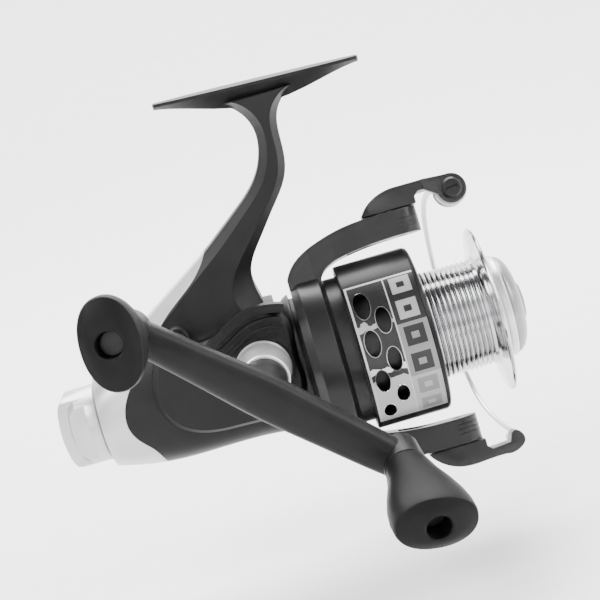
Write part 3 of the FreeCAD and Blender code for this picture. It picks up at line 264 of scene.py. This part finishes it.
# %% All the finishes
BLACK_LOW, BLACK_HIGH = (0.0040, 0.0037, 0.0040), (0.0062, 0.0058, 0.0062)
ARM_LOW, ARM_HIGH = (0.0095, 0.0092, 0.0095), (0.014, 0.0136, 0.014)
SILVER_LOW, SILVER_HIGH = (0.40, 0.40, 0.405), (0.48, 0.48, 0.485)
finish = {
    "black_casing": moulded("black_casing", BLACK_LOW, BLACK_HIGH, (0.40, 0.48), 5200, 0.00002, 0.0, 0.18),
    "black_handle": moulded("black_handle", BLACK_LOW, BLACK_HIGH, (0.38, 0.45), 4200, 0.00002, 0.0, 0.17),
    "black_rotor": moulded("black_rotor", BLACK_LOW, BLACK_HIGH, (0.32, 0.40), 5200, 0.00002, 0.0, 0.34),
    "black_skirt": moulded("black_skirt", BLACK_LOW, BLACK_HIGH, (0.30, 0.36), 900, 0.000006, 0.0, 0.12),
    "black_screw": moulded("black_screw", ARM_LOW, ARM_HIGH, (0.28, 0.42), 3000, 0.00001, 0.6, 0.5),
    "knob_grip": moulded("knob_grip", BLACK_LOW, BLACK_HIGH, (0.42, 0.50), 5200, 0.00002, 0.0, 0.09),
    "silver_paint": moulded("silver_paint", SILVER_LOW, SILVER_HIGH, (0.30, 0.38), 9000, 0.000008, 0.8),
    "silver_knob": moulded("silver_knob", SILVER_LOW, SILVER_HIGH, (0.32, 0.40), 9000, 0.000008, 0.8),
    "satin_cap": turned(
        "satin_cap", (0.20, 0.20, 0.205), (0.27, 0.27, 0.275), (0.30, 0.40), 0.000004, metallic=0.8),
    "chrome": turned("chrome", (0.58, 0.58, 0.59), (0.68, 0.68, 0.69), (0.30, 0.38), 0.000001, metallic=0.72),
    "spool_chrome": turned("spool_chrome", (0.42, 0.42, 0.43), (0.54, 0.54, 0.55), (0.12, 0.20), 0.000001),
    "wire_steel": turned(
        "wire_steel", (0.42, 0.42, 0.43), (0.52, 0.52, 0.53), (0.28, 0.36), 0.000002, (1, 1, 1), 900.0),
    "steel": turned("steel", (0.50, 0.50, 0.51), (0.62, 0.62, 0.63), (0.22, 0.34), 0.000003),
    "bearing_steel": turned("bearing_steel", (0.62, 0.62, 0.63), (0.72, 0.72, 0.73), (0.10, 0.18), 0.000001),
    "brass": turned("brass", (0.62, 0.45, 0.18), (0.74, 0.57, 0.27), (0.20, 0.32), 0.000003),
    "zinc_gear": turned(
        "zinc_gear", (0.46, 0.46, 0.47), (0.58, 0.58, 0.59), (0.34, 0.48), 0.000006, (1, 1, 1), 1400.0),
    "white_gear": moulded("white_gear", (0.74, 0.73, 0.70), (0.82, 0.81, 0.78), (0.38, 0.48), 3000, 0.00001),
    "fibre_disc": moulded("fibre_disc", (0.30, 0.25, 0.18), (0.44, 0.38, 0.29), (0.60, 0.80), 2600, 0.00003),
    "label_foil": printed_foil(),
}
slot_of = {part["node"]: part["material_slot"] for part in frame["record"]["subparts"]}
for name, node in nodes.items():
    node.data.materials.clear()
    node.data.materials.append(finish[slot_of[name]])
print("finishes:", len(finish))

# %% [markdown]
# ## Turned pieces
# The spool, its front ring and dome, and the crank collar come off a lathe.  Blender's Screw
# modifier would spin a drawn profile, but a small function that spins a list of corners keeps the
# numbers in view.  Every corner is eased first, because a real edge is never quite sharp and the
# bright line on it is most of what the eye reads as metal.

# %% A small lathe
CRANK_HEIGHT = 6.5         # crank axis above the spool axis, in millimetres
SPIN_STEPS = 96
SMOOTH_BELOW = math.radians(32.0)


def at(x, y, z):
    """A point measured in millimetres from the crank axis, on the spool axis, in the frame."""
    return Vector((x / 1000 - SPOOL_AXIS_X, y / 1000, z / 1000 - SPOOL_AXIS_Z))


EASE_SHARE, NO_LENGTH = 0.45, 1e-9             # a round takes at most this share of an edge


def eased(corners, ease):
    """The same outline with a short three-point round at every corner."""
    result = []
    for k, corner in enumerate(corners):
        middle = Vector(corner)
        before = Vector(corners[k - 1]) - middle
        after = Vector(corners[(k + 1) % len(corners)]) - middle
        start = middle + before * min(ease / max(before.length, NO_LENGTH), EASE_SHARE)
        end = middle + after * min(ease / max(after.length, NO_LENGTH), EASE_SHARE)
        if middle.y == 0.0:
            result.append(middle)
        else:
            result += [start, (start + 2 * middle + end) / 4, end]
    return result


def finished(mesh, name, body, slot, *stands_for):
    """Merge, turn the faces outwards, smooth the gentle edges and hand the piece to the frame."""
    work = bmesh.new()
    work.from_mesh(mesh)
    bmesh.ops.remove_doubles(work, verts=work.verts, dist=1e-6)
    bmesh.ops.recalc_face_normals(work, faces=work.faces)
    work.to_mesh(mesh)
    work.free()
    mesh.polygons.foreach_set("use_smooth", [True] * len(mesh.polygons))
    mesh.set_sharp_from_angle(angle=SMOOTH_BELOW)
    mesh.materials.clear()
    mesh.materials.append(finish[slot])
    obj = bpy.data.objects.new(name, mesh)
    bpy.context.scene.collection.objects.link(obj)
    if stands_for:
        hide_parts(*stands_for)
    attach(obj, body)
    print(name, "faces:", len(mesh.polygons))
    return obj


def lathe(name, corners, ease, body, slot, along_x=True, centre=(0.0, 0.0)):
    """Spin (along, radius) corners about the spool axis, or about a cross axis through centre."""
    outline = eased(corners, ease)
    points = []
    for along, radius in outline:
        for step in range(SPIN_STEPS):
            angle = 2 * math.pi * step / SPIN_STEPS
            a, b = radius * math.cos(angle), radius * math.sin(angle)
            points.append(at(along, a, b) if along_x else at(centre[0] + a, along, centre[1] + b))
    faces = []
    count = len(outline)
    for k in range(count):
        here, there = k * SPIN_STEPS, ((k + 1) % count) * SPIN_STEPS
        for step in range(SPIN_STEPS):
            after = (step + 1) % SPIN_STEPS
            faces.append((here + step, here + after, there + after, there + step))
    mesh = bpy.data.meshes.new(name)
    mesh.from_pydata(points, [], faces)
    return finished(mesh, name + "_turned", body, slot, name)


# %% [markdown]
# ## The spool
# The barrel is not smooth: eleven rounded ribs keep the first layer of line from slipping.  They
# are a wave in the outline, so they stay real geometry.  In front stands the thin bright lip that
# the line leaves over.

# %% Barrel, lip, ring and dome
RIBS, RIB_PITCH, RIB_START, RIB_STEPS = 11, 1.5, 52.4, 8
BARREL, RIB_DEPTH, BARREL_FALL = 17.1, 0.6, 0.035


def barrel_outline():
    outline = [(50.4, 5.0), (50.4, BARREL), (RIB_START, BARREL)]
    for step in range(1, RIBS * RIB_STEPS + 1):
        turn = step / RIB_STEPS
        dip = RIB_DEPTH * (0.5 - 0.5 * math.cos(2 * math.pi * turn)) ** 0.6
        outline.append((RIB_START + turn * RIB_PITCH, BARREL - BARREL_FALL * turn - dip))
    return outline


spool_lip = [
    (69.8, 16.7), (70.6, 17.8), (71.0, 20.0), (71.15, 25.0), (71.4, 25.7), (71.9, 26.0), (72.35, 25.7),
    (72.6, 25.0), (72.6, 14.6), (54.2, 14.6), (54.2, 5.0), (70.0, 5.0), (70.0, 1.75), (50.0, 1.75),
    (50.0, 5.0),
]
lathe("spool", barrel_outline() + spool_lip, 0.06, "spool", "spool_chrome")
ring_outline = [
    (72.6, 13.0), (72.6, 16.0), (73.6, 16.0), (73.8, 15.5), (74.4, 15.5), (74.6, 16.0), (76.2, 16.0),
    (76.6, 15.6), (76.6, 13.0),
]
lathe("spool_ring", ring_outline, 0.12, "spool", "chrome")


DOME_SEAT, DOME_RISE = 76.6, 4.6
DOME_FLAT, DOME_ROUND = 6.3, 9.1               # radius of the flat front, and width of the round


def dome_outline():
    outline = [(77.6, 12.0), (DOME_SEAT, 12.0), (DOME_SEAT, DOME_FLAT + DOME_ROUND)]
    for step in range(1, 12):
        turn = math.radians(7.5 * step)
        rise, reach = DOME_RISE * math.sin(turn), DOME_ROUND * math.cos(turn)
        outline.append((DOME_SEAT + rise, DOME_FLAT + reach))
    return outline + [(DOME_SEAT + DOME_RISE, DOME_FLAT), (77.6, DOME_FLAT)]


lathe("spool_cap", dome_outline(), 0.05, "spool", "satin_cap")

# %% [markdown]
# ## Crank collar
# The collar is a bright sleeve between the casing and the crank arm, with a raised line at each
# end.  It comes off the same lathe, but it is spun about the crank's own axis.

# %% Collar
collar_outline = [
    (-18.2, 3.5), (-18.2, 8.3), (-18.7, 8.6), (-19.3, 8.6), (-19.8, 8.2), (-30.6, 7.2), (-31.4, 7.5),
    (-32.4, 7.5), (-32.8, 7.2), (-32.8, 3.5),
]
lathe("crank_collar", collar_outline, 0.15, "crank", "chrome", False, (0.0, CRANK_HEIGHT))

# %% [markdown]
# ## Paddle knobs
# Each knob is a soft paddle: round where it meets the arm, a wide oval near the end, with a fine
# ridge round a slightly domed end face and a deep well over the head of its spindle.  It could be
# sculpted, but oval rings joined one after the other follow the same rule as the real mould, and
# the ridge is just two rings close together.  The knobs lean outwards a little, each by its own
# angles.

# %% Knob rings
ARM_DIP = math.radians(43.0)
ALONG_ARM = Vector((math.cos(ARM_DIP), 0, -math.sin(ARM_DIP)))
ACROSS_ARM = Vector((math.sin(ARM_DIP), 0, math.cos(ARM_DIP)))
KNOB_REACH, KNOB_SEAT_Y = 43.0, -56.2
KNOB_STEPS = 72
SQUARENESS = 2.15
GRIP_RINGS = [
    (0.05, 6.1, 6.1), (1.2, 6.3, 6.3), (8.0, 7.8, 6.9), (14.0, 9.8, 7.6), (19.0, 11.1, 7.95),
    (23.0, 11.65, 8.05),
    (26.6, 11.6, 7.95), (27.8, 11.3, 7.7), (28.0, 11.1, 7.5), (28.15, 10.7, 7.15), (28.9, 9.2, 6.4),
    (29.6, 6.6, 5.2), (29.95, 4.6, 4.2), (30.0, 3.9, 3.8), (29.8, 3.5, 3.5), (22.2, 3.5, 3.5),
    (22.2, 1.95, 1.95), (0.05, 1.95, 1.95),
]
KNOBS = [
    ("knob_rear", "knob_rear", -1, 7.0, -5.0, (0, 0, 1), 1.07),
    ("knob_front", "knob_front", 1, 14.0, -7.0, (0.974, 0, -0.225), 1.0),
]


def signed_power(value, power):
    return math.copysign(abs(value) ** power, value)


def paddle(node, body, side, out, across, flat, breadth):
    way = ALONG_ARM * math.tan(math.radians(side * out)) + ACROSS_ARM * math.tan(math.radians(side * across))
    way = (way - Vector((0, 1, 0))).normalized()
    broad = (Vector(flat) - way * way.dot(Vector(flat))).normalized()
    thin = way.cross(broad)
    base = Vector((0, KNOB_SEAT_Y, CRANK_HEIGHT)) + ALONG_ARM * (side * KNOB_REACH)
    points = []
    for along, half_broad, half_thin in GRIP_RINGS:
        stretch = breadth if half_broad > 7.0 else 1.0
        for step in range(KNOB_STEPS):
            angle = 2 * math.pi * step / KNOB_STEPS
            a = half_broad * stretch * signed_power(math.cos(angle), 2 / SQUARENESS)
            b = half_thin * signed_power(math.sin(angle), 2 / SQUARENESS)
            points.append(at(*(base + way * along + broad * a + thin * b)))
    faces = []
    for k in range(len(GRIP_RINGS)):
        here, there = k * KNOB_STEPS, ((k + 1) % len(GRIP_RINGS)) * KNOB_STEPS
        for step in range(KNOB_STEPS):
            after = (step + 1) % KNOB_STEPS
            faces.append((here + step, here + after, there + after, there + step))
    mesh = bpy.data.meshes.new(node)
    mesh.from_pydata(points, [], faces)
    return finished(mesh, node + "_grip", body, slot_of[node], node)


for knob in KNOBS:
    paddle(*knob)

# %% [markdown]
# ## Eased edges on the mouldings
# A moulding leaves its tool with small rounds on its edges.  The solid model has sharp ones, so a
# copy of the drag dial and of each bail lever is merged, its flat triangles are joined, and a Bevel
# modifier eases every edge that turns by more than a set angle.

# %% Ease the mouldings
EDGE_TURN = math.radians(30.0)
FLAT_TURN = math.radians(0.8)


def eased_copy(node, body, width):
    mesh = nodes[node].data.copy()
    work = bmesh.new()
    work.from_mesh(mesh)
    bmesh.ops.remove_doubles(work, verts=work.verts, dist=2e-6)
    bmesh.ops.dissolve_limit(work, angle_limit=FLAT_TURN, verts=work.verts, edges=work.edges)
    bmesh.ops.recalc_face_normals(work, faces=work.faces)
    work.to_mesh(mesh)
    work.free()
    draft = bpy.data.objects.new("draft", mesh)
    bpy.context.scene.collection.objects.link(draft)
    bevel = draft.modifiers.new("edges", "BEVEL")
    bevel.width = width
    bevel.segments = 2
    bevel.limit_method = "ANGLE"
    bevel.angle_limit = EDGE_TURN
    bevel.use_clamp_overlap = True
    seen = draft.evaluated_get(bpy.context.evaluated_depsgraph_get())
    result = bpy.data.meshes.new_from_object(seen)
    bpy.data.objects.remove(draft)
    return finished(result, node + "_eased", body, slot_of[node], node)


EASED = [
    ("drag_knob", "drag_knob", 0.0005),
    ("bail_lever_upper", "bail", 0.0006), ("bail_lever_lower", "bail", 0.0006),
]
for node, body, width in EASED:
    eased_copy(node, body, width)

# %% [markdown]
# ## Bright rims round the holes
# Each hole in the skirt has a thin light line round it.  The holes differ only in size and place, so
# this is work for Geometry Nodes: a point for every hole carries its two half sizes, a circle is set on
# each point and stretched, the circles are bent onto the skirt, and a fine round line is drawn along
# them.

# %% Hole rims with Geometry Nodes
HOLE_COUNT = 7
HOLE_TOP, HOLE_STEP = 40.0, 13.15              # degrees above the cross axis, and from hole to hole
HOLE_ROWS = (33.0, 38.0)
HALF_SIZES = [(4.6, 2.5), (4.2, 2.3), (4.2, 2.4), (3.8, 2.2), (3.8, 2.2), (3.3, 2.0), (3.3, 2.0)]
FOIL_R = 26.12
RIM_LINE, RIM_ABOVE = 0.00014, 0.02


def hole_points():
    mesh = bpy.data.meshes.new("hole_points")
    places, turns, sizes = [], [], []
    for flank in (0.0, math.pi):
        for k in range(HOLE_COUNT):
            angle = math.radians(HOLE_TOP - HOLE_STEP * k)
            turn = flank - angle
            places.append(at(HOLE_ROWS[k % 2], -FOIL_R * math.cos(turn), -FOIL_R * math.sin(turn)))
            turns.append((turn, 0.0, 0.0))
            round_half, axial_half = HALF_SIZES[k]
            sizes.append((axial_half / 1000, 1.0, round_half / 1000))
    mesh.from_pydata(places, [], [])
    for name, values in (("turn", turns), ("half_size", sizes)):
        attribute = mesh.attributes.new(name, "FLOAT_VECTOR", "POINT")
        attribute.data.foreach_set("vector", [v for triple in values for v in triple])
    return mesh


def rim_tree():
    tree = bpy.data.node_groups.new("hole_rims", "GeometryNodeTree")
    tree.interface.new_socket("Holes", in_out="INPUT", socket_type="NodeSocketGeometry")
    line = tree.interface.new_socket("Line radius", in_out="INPUT", socket_type="NodeSocketFloat")
    shell = tree.interface.new_socket("Skirt radius", in_out="INPUT", socket_type="NodeSocketFloat")
    tree.interface.new_socket("Rims", in_out="OUTPUT", socket_type="NodeSocketGeometry")

    def add(kind, **values):
        node = tree.nodes.new(kind)
        for name, value in values.items():
            node.inputs[name].default_value = value
        return node

    def attribute(name):
        node = tree.nodes.new("GeometryNodeInputNamedAttribute")
        node.data_type = "FLOAT_VECTOR"
        node.inputs["Name"].default_value = name
        return node.outputs["Attribute"]

    def maths(operation, a, b):
        node = tree.nodes.new("ShaderNodeVectorMath")
        node.operation = operation
        for socket, value in zip(node.inputs, (a, b)):
            if isinstance(value, tuple):
                socket.default_value = value
            else:
                tree.links.new(value, socket)
        return node.outputs["Vector"]

    source = tree.nodes.new("NodeGroupInput")
    circle = add("GeometryNodeCurvePrimitiveCircle", Radius=1.0, Resolution=40)
    flat = add("GeometryNodeTransform", Rotation=(math.pi / 2, 0, 0))
    tree.links.new(circle.outputs["Curve"], flat.inputs["Geometry"])
    scatter = tree.nodes.new("GeometryNodeInstanceOnPoints")
    tree.links.new(source.outputs["Holes"], scatter.inputs["Points"])
    tree.links.new(flat.outputs["Geometry"], scatter.inputs["Instance"])
    tree.links.new(attribute("turn"), scatter.inputs["Rotation"])
    tree.links.new(attribute("half_size"), scatter.inputs["Scale"])
    real = tree.nodes.new("GeometryNodeRealizeInstances")
    tree.links.new(scatter.outputs["Instances"], real.inputs["Geometry"])
    place = tree.nodes.new("GeometryNodeInputPosition").outputs["Position"]
    from_axis = maths("ADD", place, (0, 0, SPOOL_AXIS_Z))
    across = maths("MULTIPLY", from_axis, (0, 1, 1))
    unit = maths("NORMALIZE", across, (0, 0, 0))
    scaled = tree.nodes.new("ShaderNodeVectorMath")
    scaled.operation = "SCALE"
    tree.links.new(unit, scaled.inputs[0])
    tree.links.new(source.outputs["Skirt radius"], scaled.inputs["Scale"])
    along = maths("MULTIPLY", place, (1, 0, 0))
    onto = maths("ADD", maths("ADD", scaled.outputs["Vector"], along), (0, 0, -SPOOL_AXIS_Z))
    bend = tree.nodes.new("GeometryNodeSetPosition")
    tree.links.new(real.outputs["Geometry"], bend.inputs["Geometry"])
    tree.links.new(onto, bend.inputs["Position"])
    profile = add("GeometryNodeCurvePrimitiveCircle", Resolution=6)
    tree.links.new(source.outputs["Line radius"], profile.inputs["Radius"])
    sweep = tree.nodes.new("GeometryNodeCurveToMesh")
    tree.links.new(bend.outputs["Geometry"], sweep.inputs["Curve"])
    tree.links.new(profile.outputs["Curve"], sweep.inputs["Profile Curve"])
    whole = tree.nodes.new("GeometryNodeRealizeInstances")
    tree.links.new(sweep.outputs["Mesh"], whole.inputs["Geometry"])
    coat = tree.nodes.new("GeometryNodeSetMaterial")
    coat.inputs["Material"].default_value = finish["spool_chrome"]
    tree.links.new(whole.outputs["Geometry"], coat.inputs["Geometry"])
    sink = tree.nodes.new("NodeGroupOutput")
    tree.links.new(coat.outputs["Geometry"], sink.inputs["Rims"])
    return tree, line.identifier, shell.identifier


holes = bpy.data.objects.new("holes", hole_points())
bpy.context.scene.collection.objects.link(holes)
rims = holes.modifiers.new("rims", "NODES")
rims.node_group, line_input, shell_input = rim_tree()
rims[line_input] = RIM_LINE
rims[shell_input] = (FOIL_R + RIM_ABOVE) / 1000
rim_mesh = bpy.data.meshes.new_from_object(holes.evaluated_get(bpy.context.evaluated_depsgraph_get()))
bpy.data.objects.remove(holes)
finished(rim_mesh, "hole_rims", "spool", "spool_chrome")

# %% [markdown]
# ## The bail wire
# The wire leaves the cone beside the roller, sweeps round in front of the spool on the far side and
# ends in the lower lever.  It is one curve with a round section, thicker at the roller end, and a
# smooth spline through a few points gives the easy sweep of bent spring steel.

# %% Bail wire
WIRE_POINTS = [
    (70.5, 7.6, 39.1, 1.25), (66.4, 17.0, 39.2, 1.15), (63.4, 33.0, 32.8, 1.0), (63.2, 48.4, 13.0, 0.9),
    (63.2, 48.4, -13.0, 0.85), (63.5, 33.0, -33.2, 0.85), (66.0, 16.0, -40.2, 0.85), (69.0, 0.8, -40.5, 0.85),
]
WIRE_R = 0.0009


def bail_wire():
    curve = bpy.data.curves.new("bail_wire", "CURVE")
    curve.dimensions = "3D"
    spline = curve.splines.new("NURBS")
    spline.points.add(len(WIRE_POINTS) - 1)
    for point, (x, y, z, swell) in zip(spline.points, WIRE_POINTS):
        point.co = (*at(x, y, z), 1.0)
        point.radius = swell
    spline.order_u = 3
    spline.use_endpoint_u = True
    spline.resolution_u = 14
    curve.bevel_depth = WIRE_R
    curve.bevel_resolution = 5
    curve.use_fill_caps = True
    draft = bpy.data.objects.new("draft", curve)
    bpy.context.scene.collection.objects.link(draft)
    mesh = bpy.data.meshes.new_from_object(draft.evaluated_get(bpy.context.evaluated_depsgraph_get()))
    bpy.data.objects.remove(draft)
    return finished(mesh, "bail_wire_smooth", "bail", slot_of["bail_wire"], "bail_wire")


bail_wire()

# %% [markdown]
# ## Ring lines on the bail bosses
# Three fine raised lines run round the boss at the end of each rotor arm, where the bail lever
# turns on it.  Each is a thin ring, half sunk in the boss, and both arms are parked a little round
# the spool axis, so the rings are drawn upright and turned with them.

# %% Ring lines
BAIL_X, BOSS_R, RING_LINE = 52.5, 6.1, 0.14
RING_HEIGHTS = (31.6, 33.0, 34.4)
REST_TURN = math.radians(-14.0)
RING_AROUND, RING_SECTION = 64, 8


def ring_lines():
    work = bmesh.new()
    rest = Matrix.Rotation(REST_TURN, 4, "X")
    middle = at(0, 0, 0)
    for height in [h * side for side in (1, -1) for h in RING_HEIGHTS]:
        rows = []
        for step in range(RING_AROUND):
            angle = 2 * math.pi * step / RING_AROUND
            row = []
            for part in range(RING_SECTION):
                tilt = 2 * math.pi * part / RING_SECTION
                reach = BOSS_R + RING_LINE * math.cos(tilt)
                raised = height + RING_LINE * math.sin(tilt)
                point = at(BAIL_X + reach * math.cos(angle), reach * math.sin(angle), raised)
                row.append(work.verts.new(rest @ (point - middle) + middle))
            rows.append(row)
        for step in range(RING_AROUND):
            here, there = rows[step], rows[(step + 1) % RING_AROUND]
            for part in range(RING_SECTION):
                after = (part + 1) % RING_SECTION
                work.faces.new((here[part], here[after], there[after], there[part]))
    mesh = bpy.data.meshes.new("ring_lines")
    work.to_mesh(mesh)
    work.free()
    return finished(mesh, "boss_ring_lines", "rotor", "black_rotor")


ring_lines()

# %% [markdown]
# ## Floor, light and camera
# Black satin shows its form only by what it mirrors, so it wants large soft lights: one overhead
# and to the left, a long one on the right, and one behind that draws bright edges.  The floor is
# a wide round sheet that sweeps up on every side, so that no horizon cuts the view.

# %% Floor and backdrop
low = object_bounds()[0]
FLOOR_R, SWEEP_R, WALL_TOP = 1.3, 0.6, 2.6
FLOOR_GAP = 0.02
BOWL_STEPS = 72


def backdrop():
    """Round floor that sweeps up into a wall on every side, so that no view shows a horizon."""
    profile = [(0.0, 0.0), (FLOOR_R, 0.0)]
    for step in range(1, 13):
        turn = math.radians(7.5 * step)
        profile.append((FLOOR_R + SWEEP_R * math.sin(turn), SWEEP_R - SWEEP_R * math.cos(turn)))
    profile.append((FLOOR_R + SWEEP_R, WALL_TOP))
    ground = low.z - FLOOR_GAP
    points = [(0.0, 0.0, ground)]
    for reach, height in profile[1:]:
        for step in range(BOWL_STEPS):
            angle = 2 * math.pi * step / BOWL_STEPS
            points.append((reach * math.cos(angle), reach * math.sin(angle), ground + height))
    faces = []
    for step in range(BOWL_STEPS):
        after = (step + 1) % BOWL_STEPS
        faces.append((0, 1 + step, 1 + after))
        for k in range(len(profile) - 2):
            here, there = 1 + k * BOWL_STEPS, 1 + (k + 1) * BOWL_STEPS
            faces.append((here + step, there + step, there + after, here + after))
    mesh = bpy.data.meshes.new("backdrop")
    mesh.from_pydata(points, [], faces)
    mesh.polygons.foreach_set("use_smooth", [True] * len(faces))
    obj = bpy.data.objects.new("backdrop", mesh)
    bpy.context.scene.collection.objects.link(obj)
    paper = moulded("pale_paper", (0.84, 0.84, 0.84), (0.87, 0.87, 0.87), (0.8, 0.9), 400, 0.00002)
    obj.data.materials.append(paper)
    print("backdrop faces:", len(faces))


backdrop()

# %% [markdown]
# ## Lights
# A small light gives a hard sparkle and a large one a soft sheen.  Black plastic needs dark
# surroundings with a few soft lamps, or it turns grey all over, so the sky is dim, two lamps above
# draw the highlights, and a large lamp behind brightens the paper.

# %% Lights
aim = Vector((-0.0052, 0.0, -0.0685))


def softbox(name, place, size, power):
    light = bpy.data.lights.new(name, "AREA")
    light.shape = "RECTANGLE"
    light.size, light.size_y = size
    light.energy = power
    obj = bpy.data.objects.new(name, light)
    obj.location = place
    obj.rotation_euler = (aim - Vector(place)).to_track_quat("-Z", "Y").to_euler()
    bpy.context.scene.collection.objects.link(obj)
    return obj


softbox("over_left", (-0.38, -0.30, 0.50), (0.40, 0.30), 6.0)
softbox("over_right", (0.50, -0.20, 0.30), (0.20, 0.55), 3.5)
softbox("front_fill", (-0.30, -0.95, 0.25), (0.5, 0.4), 2.0)
softbox("back_edge", (0.10, 0.50, 0.40), (0.8, 0.30), 3.5)
floor_wash = softbox("floor_wash", (0.0, 0.9, 1.5), (1.8, 1.2), 110.0)
floor_wash.rotation_euler = (math.radians(-8.0), 0.0, 0.0)
world = bpy.data.worlds.new("studio")
world.use_nodes = True
world.node_tree.nodes["Background"].inputs["Color"].default_value = (1, 1, 1, 1)
world.node_tree.nodes["Background"].inputs["Strength"].default_value = 0.15
bpy.context.scene.world = world

# %% [markdown]
# ## Camera
# The view is from the handle side, a little above, with the camera rolled so that the reel seems to
# dive to the left.  A long lens keeps the foot and the crank in the same proportion as the eye sees
# them from a shop counter.

# %% Camera
tilt = math.radians(12.0)
roll = math.radians(16.2)
distance = 0.441
look = Vector((0, math.cos(tilt), -math.sin(tilt)))
level_up = Vector((0, math.sin(tilt), math.cos(tilt)))
right = Vector((1, 0, 0)) * math.cos(roll) - level_up * math.sin(roll)
up = Vector((1, 0, 0)) * math.sin(roll) + level_up * math.cos(roll)
camera = bpy.data.objects.new("camera", bpy.data.cameras.new("camera"))
camera.data.lens = 85.8
camera.data.sensor_width = 36.0
camera.data.clip_start = 0.01
turn = Matrix((right, up, -look)).transposed().to_4x4()
camera.matrix_world = Matrix.Translation(aim - look * distance) @ turn
bpy.context.scene.collection.objects.link(camera)
bpy.context.scene.camera = camera
print("camera at", [round(v, 3) for v in camera.location])
